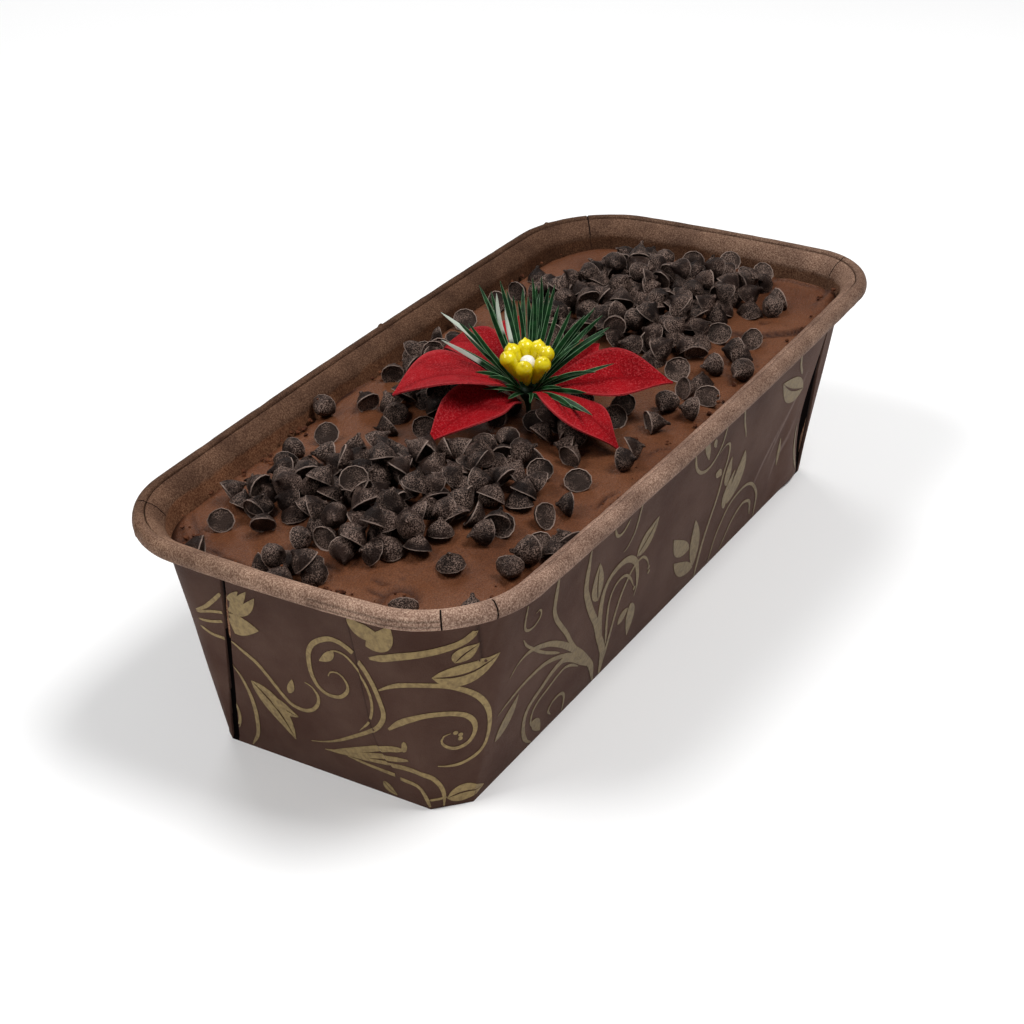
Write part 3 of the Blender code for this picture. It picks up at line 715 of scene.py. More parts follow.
SIDE_STROKES = (
    (0.7, 0.6, 0.4, (
        (265.5, 47), (265.6, 43), (266.3, 40.8), (268, 39.6), (270.3, 39.4), (272, 40.5),
        (272, 42), (271, 43), (269.8, 42.8),
    )),
    (0.6, 1.5, 1.9, (
        (263.8, 30.0), (266, 32), (269, 32.7), (272.5, 32.2), (277, 30.3), (281.5, 28),
        (287, 24.3), (292, 20.3), (297, 16), (302, 10.8), (305.5, 6.5), (308.5, 0.6),
    )),
    (0.5, 0.7, 0.7, ((266.5, 38), (268.5, 35.5), (272, 32.5), (276, 29.3), (280, 26.5), (286, 22.8))),
    (1.6, 1.1, 1.0, (
        (277, 48), (277.8, 42), (278.4, 38.5), (280.5, 35), (283.5, 31.5), (287.5, 27),
        (291, 22.5), (294.5, 18.5), (299, 13.5),
    )),
    (0.5, 1.1, 1.1, (
        (262, 21.3), (265, 22.4), (270, 23.5), (275, 24), (280, 23.6), (285, 22), (290, 19.6),
        (294, 17), (298, 13.5),
    )),
    (1.1, 1.7, 0.9, (
        (303, 8.5), (299, 12), (295, 15.3), (291, 18), (288, 19), (284.5, 18.3), (281, 16.3),
        (277.5, 14.3), (276.3, 12), (276.7, 8.5), (278, 5), (280, 2.3), (282.2, 0.6),
    )),
    (0.6, 0.8, 0.6, (
        (298, 11.5), (294.5, 14), (291, 15.5), (288, 15.2), (284.5, 13.8), (281, 12.3),
        (279.8, 10.3), (280, 7.5), (281.5, 5.5), (283.5, 3.8),
    )),
    (0.5, 0.8, 0.6, (
        (289.3, 3.5), (287.7, 5.5), (288.5, 7), (290.5, 7.6), (292.5, 7.3), (294, 6), (294.7, 4),
        (294.9, 0.8),
    )),
    (2.5, 1.9, 1.6, (
        (311.5, 0.6), (310.8, 5), (309.5, 9), (306, 14.5), (302.5, 20.5), (298.5, 26),
        (294.5, 32), (292, 37), (290.2, 47),
    )),
    (2.0, 1.9, 0.8, (
        (308.5, 9), (306, 15), (304, 21), (303, 26), (303.2, 29.5), (305, 31.8), (308, 32.8),
        (311.5, 32.5), (315, 30.8), (318, 28), (320, 24), (321.3, 20), (321, 17),
    )),
    (1.0, 0.8, 0.5, (
        (310.5, 10), (309, 15), (307.8, 20), (307.3, 24), (308.3, 26.7), (310.5, 27.8),
        (313.5, 27.2), (316.5, 24.7), (319.5, 20.8),
    )),
    (1.3, 1.0, 0.4, (
        (311.5, 3), (311.6, 9), (312, 15), (313, 20.5), (315, 25), (317.8, 27.8), (321, 28),
        (324, 25.5), (325.5, 23),
    )),
    (0.5, 0.8, 0.8, ((308.5, 36.5), (310, 36.8), (311.7, 38.8), (312.3, 41), (312.3, 48))),
    (0.5, 0.8, 0.7, ((300.5, 47), (301.8, 44.8), (303.5, 43.6), (305.5, 43.8), (307.5, 46))),
    (0.7, 0.9, 0.7, (
        (337.5, 48), (338.9, 44.7), (341, 41.5), (344.5, 38.7), (348.5, 37.7), (352, 39),
        (354, 42), (354.3, 48),
    )),
    (0.5, 1.0, 1.4, (
        (354, 39.2), (356.5, 40.2), (359, 39.4), (360.3, 36.8), (360.6, 33.5), (360, 30),
        (359.7, 24), (358.7, 18), (357.7, 12), (357.3, 7), (357.5, 0.8),
    )),
    (0.5, 0.9, 0.9, (
        (364.5, 1), (365.5, 8), (367.5, 12), (370, 15.3), (374, 16.8), (378.5, 16.7), (383, 14.8),
        (387, 11), (389.3, 7), (390, 0.8),
    )),
    (0.4, 0.9, 0.7, ((371, 1), (375, 7.5), (379, 10), (382, 9.8), (385, 8), (387, 3))),
    (0.8, 0.7, 0.4, ((363.5, 47), (366, 42), (368.5, 38), (369.5, 36))),
    (0.4, 1.3, 0.5, ((396.2, 22), (397.6, 17), (398.8, 12))),
    (0.5, 1.0, 0.8, ((405.5, 22), (406.6, 16), (409, 10), (412.5, 4))),
    (1.1, 1.0, 0.8, ((396.5, 47), (398, 43), (400.5, 39.5))),
)

# Each leaf has its greatest width, a bend to the left of its way, its foot and its tip. A leaf
# with a rib is printed in two halves.
END_LEAVES = (
    (2.2, 0.7, (198.0, 40.3), (202.0, 47.4), False),
    (2.2, 0.1, (198.5, 40.3), (204.4, 48.1), False),
    (2.4, -0.7, (198.9, 40.1), (206.4, 47.0), False),
    (5.6, 0.5, (194.8, 36.2), (205.3, 37.8), False),
    (1.6, -0.2, (209.5, 21.8), (211.3, 26.2), False),
    (5.4, 1.4, (199.4, 21.6), (208.2, 7.6), True),
    (3.4, -0.8, (204.0, 18.8), (210.6, 15.2), True),
    (1.9, 0.3, (224.6, 38.6), (220.3, 34.7), False),
    (4.6, -1.3, (234.0, 43.6), (241.0, 51.0), False),
    (4.2, 1.8, (238.0, 47.6), (230.6, 51.0), False),
    (5.6, -1.2, (246.4, 38.0), (258.1, 40.2), True),
    (3.4, 0.4, (250.1, 41.4), (253.9, 45.0), True),
    (4.6, 1.0, (248.5, 2.6), (262.8, 2.6), True),
    (2.0, -0.3, (230.3, 3.9), (233.2, 0.9), True),
)
SIDE_LEAVES = (
    (4.0, -0.6, (263.6, 13.4), (270.0, 21.8), False),
    (2.6, 0.2, (280.8, 7.2), (285.6, 1.6), False),
    (4.8, 0.4, (300.6, 28.0), (296.6, 40.2), True),
    (6.0, -0.5, (317.4, 30.2), (324.6, 37.3), True),
    (3.2, 0.4, (315.1, 12.4), (319.3, 14.6), False),
    (3.9, 0.7, (320.0, 15.4), (322.4, 4.8), False),
    (2.0, 0.3, (342.6, 48.0), (347.4, 40.8), False),
    (1.4, 0.0, (348.0, 46.0), (350.0, 43.0), False),
    (2.2, 0.2, (354.8, 33.0), (358.8, 30.6), False),
    (4.2, 1.0, (349.6, 13.8), (338.0, 23.0), False),
    (3.8, 0.9, (354.6, 5.4), (342.4, 13.4), False),
    (4.4, -0.6, (354.6, 6.0), (348.8, 22.8), False),
    (3.2, 0.6, (364.2, 24.6), (363.2, 33.6), False),
    (6.4, -1.6, (367.6, 17.2), (371.4, 31.2), False),
    (3.6, 1.4, (366.6, 16.4), (367.4, 27.6), False),
    (7.0, 1.0, (403.6, 33.8), (387.8, 42.4), True),
)
END_DOTS = ((250.7, 21.7), (251.9, 20.9), (251.9, 19.8))
SIDE_DOTS = ((326.0, 22.3), (326.7, 20.6), (320.2, 19.8))
DOT_RADIUS = 0.55

# Once round the wall, half-way up: the place of each small step and its distance from the start
walk_places = [8 * k / WALK_STEPS for k in range(WALK_STEPS + 1)]
walk = [wall_at(place, WALL_TOP / 2) for place in walk_places]
walked = [0.0]
for before, after in zip(walk, walk[1:]):
    walked.append(walked[-1] + (after - before).length)
HALF_ROUND = walked[WALK_STEPS // 2]


def place_at(distance):
    """The place along the outline at this distance along the wall."""
    return float(np.interp(distance % walked[-1], walked, walk_places))


def smooth_curve(points, step):
    """Evenly spaced points of a smooth curve through a few points."""
    points = [np.array(point, float) for point in points]
    padded = [2 * points[0] - points[1], *points, 2 * points[-1] - points[-2]]
    curve = []
    for a, b, c, d in zip(padded, padded[1:], padded[2:], padded[3:]):
        count = max(1, round(float(np.linalg.norm(c - b)) / step))
        for k in range(count):
            t = k / count
            curve.append(0.5 * (
                2 * b + (c - a) * t + (2 * a - 5 * b + 4 * c - d) * t * t
                + (3 * b - a - 3 * c + d) * t ** 3
            ))
    curve.append(points[-1])
    return curve


ink_points = []
ink_faces = []


def lay_runs(middle, widths, share=(-1.0, 1.0)):
    """Adds ribbons of ink along the parts of a curve that don't cross an open fold."""
    clear = [wall_relief(place_at(spot[0]), spot[1])[1] < INK_STOPS_AT for spot in middle]
    first = 0
    for index, is_clear in enumerate(clear + [False]):
        if is_clear:
            continue
        if index - first > 2:
            lay_ribbon(middle[first:index], widths[first:index], share)
        first = index + 1


def lay_ribbon(middle, widths, share):
    """Adds a thin solid of ink along a curve of (distance, height) points.

    The share says which part of the width is printed, from its left edge -1 to its right 1."""
    most = max(widths)
    across = max(2, math.ceil(most * (share[1] - share[0]) / 2 / LEAF_STEP) + 1)
    start = len(ink_points)
    for lift in (INK_LIFT, INK_LIFT + INK_THICK):
        for index, point in enumerate(middle):
            ahead = middle[min(index + 1, len(middle) - 1)] - middle[max(index - 1, 0)]
            ahead = ahead / max(1e-6, float(np.linalg.norm(ahead)))
            right = np.array((ahead[1], -ahead[0]))
            for k in range(across):
                part = share[0] + (share[1] - share[0]) * k / (across - 1)
                spot = point + right * (widths[index] / 2 * part)
                height = min(PRINT_TOP, max(PRINT_FOOT, spot[1]))
                ink_points.append(wall_point(place_at(spot[0]), height, lift))
    rows = len(middle)

    def at(row, column, top):
        return start + (top * rows + row) * across + column

    for row in range(rows - 1):
        for column in range(across - 1):
            ink_faces.append([at(row, column, 1), at(row, column + 1, 1),
                              at(row + 1, column + 1, 1), at(row + 1, column, 1)])
            ink_faces.append([at(row, column, 0), at(row + 1, column, 0),
                              at(row + 1, column + 1, 0), at(row, column + 1, 0)])
        for column in (0, across - 1):
            face = [at(row, column, 0), at(row, column, 1), at(row + 1, column, 1), at(row + 1, column, 0)]
            ink_faces.append(face if column == 0 else face[::-1])
    for row in (0, rows - 1):
        for column in range(across - 1):
            face = [at(row, column, 0), at(row, column + 1, 0), at(row, column + 1, 1), at(row, column, 1)]
            ink_faces.append(face if row == 0 else face[::-1])


def lay_stroke(stroke, shift):
    """A stroke whose width swells from its start to its middle and shrinks to its end."""
    first, most, last, points = stroke
    middle = smooth_curve([(s + shift, h) for s, h in points], INK_STEP)
    count = len(middle) - 1
    widths = []
    for index in range(count + 1):
        t = index / count
        end = first if t < 0.5 else last
        width = most + (end - most) * abs(2 * t - 1) ** 1.6
        widths.append(width * min(1.0, 0.35 + 6 * min(t, 1 - t)))
    lay_runs(middle, widths)


def lay_leaf(leaf, shift):
    """A pointed leaf whose middle bends; with a rib, it is two halves with a gap between."""
    width, bend, foot, tip, ribbed = leaf
    foot = np.array((foot[0] + shift, foot[1]))
    tip = np.array((tip[0] + shift, tip[1]))
    left = np.array((-(tip - foot)[1], (tip - foot)[0]))
    left /= np.linalg.norm(left)
    middle = []
    widths = []
    for k in range(LEAF_PARTS + 1):
        bent = left * (bend * math.sin(math.pi * k / LEAF_PARTS))
        middle.append(foot + (tip - foot) * k / LEAF_PARTS + bent)
        widths.append(0.15 + width * math.sin(math.pi * (k / LEAF_PARTS) ** 0.8) ** 0.9)
    if ribbed:
        lay_runs(middle, widths, (-1.0, -RIB_SHARE))
        lay_runs(middle, widths, (RIB_SHARE, 1.0))
    else:
        lay_runs(middle, widths)


def lay_dot(distance, height, shift):
    """A round dot, as a ribbon that is as long as it is wide."""
    middle = [np.array((distance + shift + DOT_RADIUS * x, height)) for x in (-1, -0.5, 0, 0.5, 1)]
    lay_runs(middle, [2 * DOT_RADIUS * wide for wide in (0.4, 0.9, 1.0, 0.9, 0.4)])


def join_points(name, points, faces):
    """A piece of these points, in millimetres, and faces."""
    mesh = bpy.data.meshes.new(name)
    mesh.from_pydata([tuple(point * MM) for point in points], [], faces)
    piece = bpy.data.objects.new(name, mesh)
    bpy.context.scene.collection.objects.link(piece)
    return piece


# The gold on the sides is painted darker and greyer than on the ends: painted shade for the grazing light
# there
ink_side_shade = []
for shift in (0.0, HALF_ROUND):
    for painted_side_shade, strokes, leaves, dots in (
        (0.0, END_STROKES, END_LEAVES, END_DOTS), (1.0, SIDE_STROKES, SIDE_LEAVES, SIDE_DOTS),
    ):
        for stroke in strokes:
            lay_stroke(stroke, shift)
        for leaf in leaves:
            lay_leaf(leaf, shift)
        for dot in dots:
            lay_dot(*dot, shift)
        ink_side_shade += [painted_side_shade] * (len(ink_points) - len(ink_side_shade))

print_sheet = join_points("gold_print", ink_points, ink_faces)
add_shade(print_sheet.data, "painted_side_shade", ink_side_shade)

GOLD_INK = (0.30, 0.215, 0.095)
GOLD_WORN = (0.205, 0.140, 0.066)
GOLD_SIDE_SHADE = (0.66, 0.66, 0.72)
gold, tree, shader = new_material("gold_ink", 0.5, 0.15)
wear = grain(tree, 900, 4)
colour = ramp(tree, wear, (0.35, GOLD_WORN), (0.6, GOLD_INK))
# Painted shade and sheen on the sides' gold
colour = mix(tree, colour, GOLD_SIDE_SHADE, shade_of(tree, "painted_side_shade"), "MULTIPLY")
tree.links.new(colour, shader.inputs["Base Color"])
shader.inputs["Metallic"].default_value = 0.35
bump(tree, shader, grain(tree, 2600, 3, (1, 1, 0.35)), 0.0001)
print_sheet.data.materials.append(gold)
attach(print_sheet, "root")
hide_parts("paper_mould")


# The frosted loaf: chocolate cake that fills the paper, under one smooth coat of milk-brown
# buttercream spread with a knife. Rings that start inside the paper shrink onto a middle line.
LOAF_GAP = PAPER + 0.25
FROSTING_EDGE = 50.4
FROSTING_TOP = 51.6
FROSTING_COLUMNS = (20, 250, 20, 60, 20, 250, 20, 60)
FROSTING_ROWS = 64
LOAF_HEIGHTS = (1.3, 25, 49)

# The knife's waves: depth, length, width and start
FROSTING_WAVES = ((0.34, 11, 7, 3.0), (0.14, 3.4, 2.6, 9.0))

# The coat thins and rounds down to the paper by these (depth, reach), and is painted darker there, a smear
# with painted shade. At the ends the paper is this far from the line that the rings shrink to.
EDGE_DROPS = ((1.2, 0.9), (0.5, 3.0))
EDGE_SHADE_AND_SMEAR = 0.9
EDGE_SHADE_AND_SMEAR_REACH = 1.1
END_TO_LINE = 36

# Each heap has its middle, its half sizes and how high the frosting mounds there
HEAPS = ((-50, -1, 36, 34, 4.2), (-2, 10, 26, 24, 0.5), (48, 2, 36, 32, 3.6))


def heap_share(heap, x, y):
    """1 at the middle of a heap, 0 at its edge and outside it."""
    distance = math.hypot((x - heap[0]) / heap[2], (y - heap[1]) / heap[3])
    return max(0.0, 1 - distance * distance)


# The ledge is looked for from here on along X, and small pits open where their noise passes this
LEDGE_FROM = 40
PIT_FROM = 0.62

# Marks in the frosting as pixels of the photo: the knife's ledge at the right corner, which the
# thick patch lies behind, and strokes with their width in mm and their depth
LEDGE = ((716, 338), (740, 336), (765, 335), (790, 332), (808, 326), (821, 315))
STROKES = (
    (1.1, -0.8, ((381, 603), (388, 596), (398, 591), (409, 591), (416, 597), (412, 606), (402, 612))),
    (2.2, 0.7, ((386, 606), (394, 600), (404, 599))),
    (0.5, -0.5, ((373, 582), (381, 586), (389, 587))),
    (0.6, -0.4, ((367, 590), (376, 596), (383, 597))),
    (0.7, 0.9, ((320, 590), (332, 596), (345, 598), (356, 602))),
    (1.0, 0.8, ((182, 545), (189, 551), (198, 556))),
    (0.8, -0.6, ((760, 322), (764, 325), (769, 323))),
    (1.3, 1.5, ((838, 287), (833, 290), (831, 297), (826, 303), (820, 306))),
    (0.7, 0.8, ((776, 279), (790, 281), (806, 285), (820, 288))),
    (0.6, 0.7, ((600, 268), (580, 273), (560, 279), (548, 284))),
    (0.5, -0.5, ((205, 545), (225, 556), (250, 566), (270, 573))),
    (1.2, 0.5, ((185, 520), (190, 535), (200, 547), (214, 556))),
    (0.8, 0.5, ((196, 514), (200, 528), (211, 541))),
    (0.6, 0.8, ((520, 583), (540, 571), (560, 559), (585, 545), (610, 526))),
    (0.5, 0.7, ((640, 500), (660, 485), (690, 463), (715, 443))),
    (0.5, -0.6, ((596, 508), (606, 498), (618, 492))),
    (0.4, -0.4, ((648, 455), (660, 449), (671, 448))),
    (0.6, 0.6, ((330, 405), (350, 392), (372, 381))),
    (0.6, -0.5, ((300, 425), (318, 415), (335, 407))),
)


def flat_line(pixels):
    """The places on the frosting of a line of pixels."""
    points = [seen_at(across, down, FROSTING_TOP) for across, down in pixels]
    return [(point.x, point.y) for point in points]


def line_distance(line, x, y):
    """How far a spot lies to the left of a line, negative to its right, and how far along."""
    nearest = (1e9, 0.0, 0.0)
    for index, ((ax, ay), (bx, by)) in enumerate(zip(line, line[1:])):
        length = math.hypot(bx - ax, by - ay)
        along = ((x - ax) * (bx - ax) + (y - ay) * (by - ay)) / length ** 2
        along = min(1.0, max(0.0, along))
        off_x = x - ax - (bx - ax) * along
        off_y = y - ay - (by - ay) * along
        side = ((bx - ax) * off_y - (by - ay) * off_x) / length
        away = math.hypot(off_x, off_y)
        if away < nearest[0]:
            nearest = (away, side, (index + along) / (len(line) - 1))
    return nearest


LEDGE_LINE = flat_line(LEDGE)
STROKE_LINES = []
for width, depth, pixels in STROKES:
    line = flat_line(pixels)
    xs, ys = zip(*line)
    around = (min(xs) - 3 * width, max(xs) + 3 * width, min(ys) - 3 * width, max(ys) + 3 * width)
    STROKE_LINES.append((width, depth, line, around))


def frosting_at(x, y):
    """The frosting's height with its waves, mounds and marks, and the painted shade in its ledge, grooves,
    pits and beside its ridges.
    """
    dark = 0.0
    height = FROSTING_TOP + 0.30 * math.sin(x / 9 + y / 14) + 0.22 * math.sin(y / 6 - x / 23)
    height += sum(heap[4] * heap_share(heap, x, y) ** 0.8 for heap in HEAPS)
    for depth, long, wide, first in FROSTING_WAVES:
        height += depth * noise.noise(Vector((x / long, y / wide, first)))
    if x > LEDGE_FROM:
        away, side, along = line_distance(LEDGE_LINE, x, y)
        behind = step_up(side, -0.35, 0.35) if away < 6 else (1.0 if side > 0 else 0.0)
        reach = math.exp(-max(0.0, away - 4) / 12)
        height += behind * reach * math.sin(math.pi * (0.1 + 0.8 * along))
        height -= 0.4 * (1 - behind) * math.exp(-(away / 1.2) ** 2)
        dark += 0.9 * math.exp(-((away if side < 0 else away + 0.3) / 0.55) ** 2)
    for width, depth, line, (low_x, high_x, low_y, high_y) in STROKE_LINES:
        if low_x < x < high_x and low_y < y < high_y:
            away, side, along = line_distance(line, x, y)
            swell = math.sin(math.pi * (0.08 + 0.84 * along)) ** 0.5
            height += depth * swell * math.exp(-(away / width) ** 2)
            if depth < 0:
                height -= 0.35 * depth * swell * math.exp(-((away - 1.7 * width) / width) ** 2)
                dark += 0.8 * swell * math.exp(-(away / width / 0.8) ** 2)
            elif side < 0:
                dark += 0.6 * swell * math.exp(-((away - width) / width / 0.6) ** 2)
    pit = noise.noise(Vector((x / 1.1, y / 1.1, 4.0))) - PIT_FROM
    if pit > 0:
        height -= 2 * pit
        dark += 4 * pit
    return height, min(1.0, dark)


def middle_of(place, half_line):
    """The point of the middle line that a place on the edge shrinks to."""
    step, share = divmod(place, 1)
    if step in (1, 5):
        x = half_line * (1 - 2 * share)
        return x if step == 1 else -x
    return half_line if wall_at(place, 0).x > 0 else -half_line


places = [part + k / count for part, count in enumerate(FROSTING_COLUMNS) for k in range(count)]
edge = [wall_at(place, FROSTING_EDGE, LOAF_GAP) for place in places]
half_line = max(point.x for point in edge) - max(point.y for point in edge)
rings = [[wall_at(place, height, LOAF_GAP) for place in places] for height in LOAF_HEIGHTS]
shades = [[0.0] * len(places) for _ in rings]
for row in range(FROSTING_ROWS + 1):
    share = 1 - (row / FROSTING_ROWS) ** 1.15
    ring = []
    darks = []
    for place, rim in zip(places, edge):
        middle = middle_of(place, half_line)
        x = middle + (rim.x - middle) * share
        y = rim.y * share
        to_paper = (1 - share) * abs(rim.y if abs(rim.y) > 20 else END_TO_LINE)
        drop = sum(depth * math.exp(-to_paper / reach) for depth, reach in EDGE_DROPS)
        height, dark = frosting_at(x, y)
        ragged = 1 + 0.9 * noise.noise(Vector((x / 5, y / 5, 2.0)))
        # Along the paper the frosting is painted darker: a smear with painted shade
        dark += EDGE_SHADE_AND_SMEAR * math.exp(-(to_paper / EDGE_SHADE_AND_SMEAR_REACH / ragged) ** 2)
        darks.append(min(1.0, dark))
        ring.append(Vector((x, y, height - drop)))
    rings.append(ring)
    shades.append(darks)
loaf = wrap_sheet("frosted_loaf", rings, (("dark", shades),))
smooth_shade(loaf, 60)

FROSTING_BROWN = (0.124, 0.044, 0.018)
FROSTING_DEEP = (0.086, 0.028, 0.011)
FROSTING_PALE = (0.156, 0.062, 0.030)
FROSTING_SHADE_AND_SMEAR = (0.022, 0.006, 0.003)
frosting, tree, shader = new_material("chocolate_frosting", 0.5, 0.16)
patches = grain(tree, 55, 5)
colour = ramp(tree, patches, (0.30, FROSTING_DEEP), (0.52, FROSTING_BROWN), (0.80, FROSTING_PALE))
specks = ramp(tree, grain(tree, 3600, 2), (0.40, (0.72, 0.70, 0.68)), (0.62, (1.15, 1.15, 1.15)))
colour = mix(tree, colour, specks, 1.0, "MULTIPLY")
# Painted shade in the marks and pits, and a smear with painted shade along the paper
colour = mix(tree, colour, FROSTING_SHADE_AND_SMEAR, shade_of(tree, "dark"))
tree.links.new(colour, shader.inputs["Base Color"])
spread = grain(tree, 260, 4, (0.45, 1, 1))
uneven = sums(tree, "ADD", sums(tree, "MULTIPLY", spread, 0.35), 0.34)
tree.links.new(uneven, shader.inputs["Roughness"])
shader.inputs["Subsurface Weight"].default_value = 0.05
shader.inputs["Subsurface Radius"].default_value = (0.002, 0.001, 0.0007)
fine = sums(tree, "ADD", grain(tree, 1100, 4), grain(tree, 2600, 2))
bump(tree, shader, sums(tree, "ADD", spread, sums(tree, "MULTIPLY", fine, 0.45)), 0.0006)
loaf.data.materials.append(frosting)
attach(loaf, "root")
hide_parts("frosted_cake")


# The chips: small drops of dark chocolate with a hollow foot, a thin brim and a curled tip, tipped
# out over the frosting in two heaps that meet round the flower. They are laid one by one, each on
# what lies there already, and none of them lifts a petal.
CHIP_SIDES = 12
CHIP_RADIUS = 3.1
CHIP_HEIGHT = 4.6
CHIP_PROFILE = (
    (0.90, 0.05), (0.955, 0.00), (1.00, 0.02), (0.985, 0.08), (0.93, 0.20), (0.83, 0.36),
    (0.66, 0.54), (0.42, 0.71), (0.20, 0.85), (0.13, 1.00),
)

# How much pale dust clings to each ring of the profile: a little to the foot, most to the brim
CHIP_RING_DUST = (0.08, 1.0, 1.0) + (0.0,) * 7

CHIP_SEED = 23
HEIGHT_CELL = 0.5
CHIP_TO_PETAL = 0.45
CHIP_TRIES = 9
SPOT_MISSES = 1500

# A chip rests on nearly the highest of what is under it, and sinks in by a little
REST_PERCENT = 95
CHIP_SINK = 0.15

# A disc, a side and a cone lean by these degrees, and any other chip has this least cosine of its
# lean. Chips in the heaps shift from their spots by more than the ones that can be told apart.
CHIP_LEANS = {"disc": (-128, -108), "side": (70, 115), "cone": (0, 14)}
LEAST_COSINE = -0.55
HEAP_SHIFT = 0.8
STRAY_SHIFT = 0.1

# The heaps' borders as pixels of the photo and the share of the chips that each gets, each layer's
# spacing in mm and how far inside the border it stays, and the chips that lie alone or can be told
# apart: pixel and how they lie
CHIP_LEVEL = 55.0
CHIP_HALF = 2.2
HEAP_BORDERS = (
    (
        (347, 450), (359, 437), (385, 440), (408, 454), (446, 457), (473, 456), (482, 447),
        (496, 441), (515, 448), (545, 452), (541, 465), (554, 485), (533, 508), (520, 534),
        (503, 537), (480, 552), (461, 528), (431, 553), (387, 562), (340, 566), (324, 543),
        (309, 553), (293, 543), (297, 524), (252, 528), (243, 508), (217, 497), (219, 481),
        (241, 483), (264, 471), (294, 467), (320, 464), (345, 468),
    ),
    ((244, 566), (268, 544), (284, 548), (326, 557), (325, 571), (306, 584), (290, 580), (256, 574)),
    ((484, 572), (502, 549), (532, 536), (560, 520), (578, 525), (578, 547), (545, 558), (515, 573)),
    (
        (400, 355), (415, 338), (440, 330), (480, 330), (490, 345), (470, 400), (450, 412),
        (420, 405), (385, 420), (375, 405),
    ),
    ((500, 400), (520, 395), (548, 395), (600, 410), (596, 430), (560, 440), (520, 430), (500, 415)),
    (
        (535, 334), (528, 308), (540, 290), (562, 286), (572, 279), (592, 267), (620, 259),
        (664, 259), (677, 274), (700, 266), (732, 270), (771, 276), (775, 286), (777, 307),
        (759, 311), (732, 317), (722, 332), (704, 354), (688, 371), (667, 378), (650, 362),
        (630, 354), (602, 347), (580, 352),
    ),
)
BORDER_SHARES = (0.34, 0.06, 0.06, 0.07, 0.07, 0.40)
STRAY_SPACING = 4.4
LAYERS = ((4.6, 1.9), (5.4, 4.2), (7.5, 8.0))
STRAYS = (
    (326, 431, "disc"), (322, 409, "side"), (366, 401, "side"), (393, 372, "side"), (425, 350, "disc"),
    (467, 318, "disc"), (291, 450, "side"), (283, 465, "side"), (326, 455, "side"), (316, 468, "cone"),
    (219, 518, "disc"), (450, 560, "cone"), (472, 604, "cone"), (404, 612, "side"), (195, 548, "side"),
    (564, 505, "side"), (541, 514, "side"), (578, 478, "disc"), (541, 468, "disc"), (565, 447, "side"),
    (573, 455, "side"), (425, 427, "disc"), (533, 419, "disc"), (500, 415, "side"), (520, 412, "side"),
    (614, 415, "disc"), (623, 403, "disc"), (627, 461, "side"), (636, 448, "side"), (654, 421, "side"),
    (666, 404, "side"), (688, 410, "side"), (709, 394, "disc"), (688, 388, "side"), (701, 378, "cone"),
    (712, 367, "side"), (676, 368, "disc"), (742, 372, "side"), (744, 357, "side"), (732, 354, "side"),
    (750, 337, "disc"), (720, 332, "disc"), (694, 259, "disc"), (762, 272, "disc"), (537, 272, "cone"),
    (776, 300, "side"), (728, 262, "disc"), (520, 290, "side"), (500, 300, "side"), (385, 428, "side"),
    (504, 522, "disc"), (540, 542, "disc"), (410, 365, "side"), (436, 338, "side"), (583, 398, "side"),
    (508, 406, "side"), (532, 405, "side"), (549, 411, "side"), (562, 421, "side"), (662, 262, "side"),
)

draw = np.random.RandomState(CHIP_SEED)


def chip_shape():
    """One chip's points round its axis, a little uneven, with its tip leaning."""
    lean = draw.uniform(0.1, 1.9)
    lean_to = draw.uniform(0, 2 * math.pi)
    tall = CHIP_HEIGHT * draw.uniform(0.74, 1.10)
    wide = CHIP_RADIUS * draw.uniform(0.90, 1.06)
    hollow = draw.choice((0.0, 0.2, 0.5))
    oval = draw.uniform(0.0, 0.09)
    seed = draw.uniform(0, 90)
    points = []
    for row, (radius, height) in enumerate(CHIP_PROFILE):
        for k in range(CHIP_SIDES):
            angle = 2 * math.pi * k / CHIP_SIDES
            rough = 1 + 0.10 * noise.noise(Vector((math.cos(angle), math.sin(angle), seed + height * 2)))
            reach = wide * radius * rough
            up = tall * height + (hollow * 0.35 if row == 0 else 0.0)
            points.append((
                reach * (1 + oval) * math.cos(angle) + lean * height ** 3.5 * math.cos(lean_to),
                reach * (1 - oval) * math.sin(angle) + lean * height ** 3.5 * math.sin(lean_to),
                up + 0.25 * wide * radius ** 3 * oval * 4 * math.cos(2 * angle + seed),
            ))
    return np.array(points)


chip_faces = [tuple(range(CHIP_SIDES))[::-1]]
for row in range(len(CHIP_PROFILE) - 1):
    for k in range(CHIP_SIDES):
        a = row * CHIP_SIDES + k
        b = row * CHIP_SIDES + (k + 1) % CHIP_SIDES
        chip_faces.append((a, b, b + CHIP_SIDES, a + CHIP_SIDES))
chip_faces.append(tuple((len(CHIP_PROFILE) - 1) * CHIP_SIDES + k for k in range(CHIP_SIDES)))

# The height of what lies there already, in small cells over the whole rim
cells_x = int(RIM_LENGTH / HEIGHT_CELL)
cells_y = int(RIM_WIDTH / HEIGHT_CELL)
ground = np.array([
    [
        frosting_at((i + 0.5) * HEIGHT_CELL - RIM_LENGTH / 2, (j + 0.5) * HEIGHT_CELL - RIM_WIDTH / 2)[0]
        for j in range(cells_y)
    ]
    for i in range(cells_x)
])


def cells_of(points):
    """The cells that points lie over."""
    i = np.clip(((points[:, 0] + RIM_LENGTH / 2) / HEIGHT_CELL).astype(int), 0, cells_x - 1)
    j = np.clip(((points[:, 1] + RIM_WIDTH / 2) / HEIGHT_CELL).astype(int), 0, cells_y - 1)
    return i, j


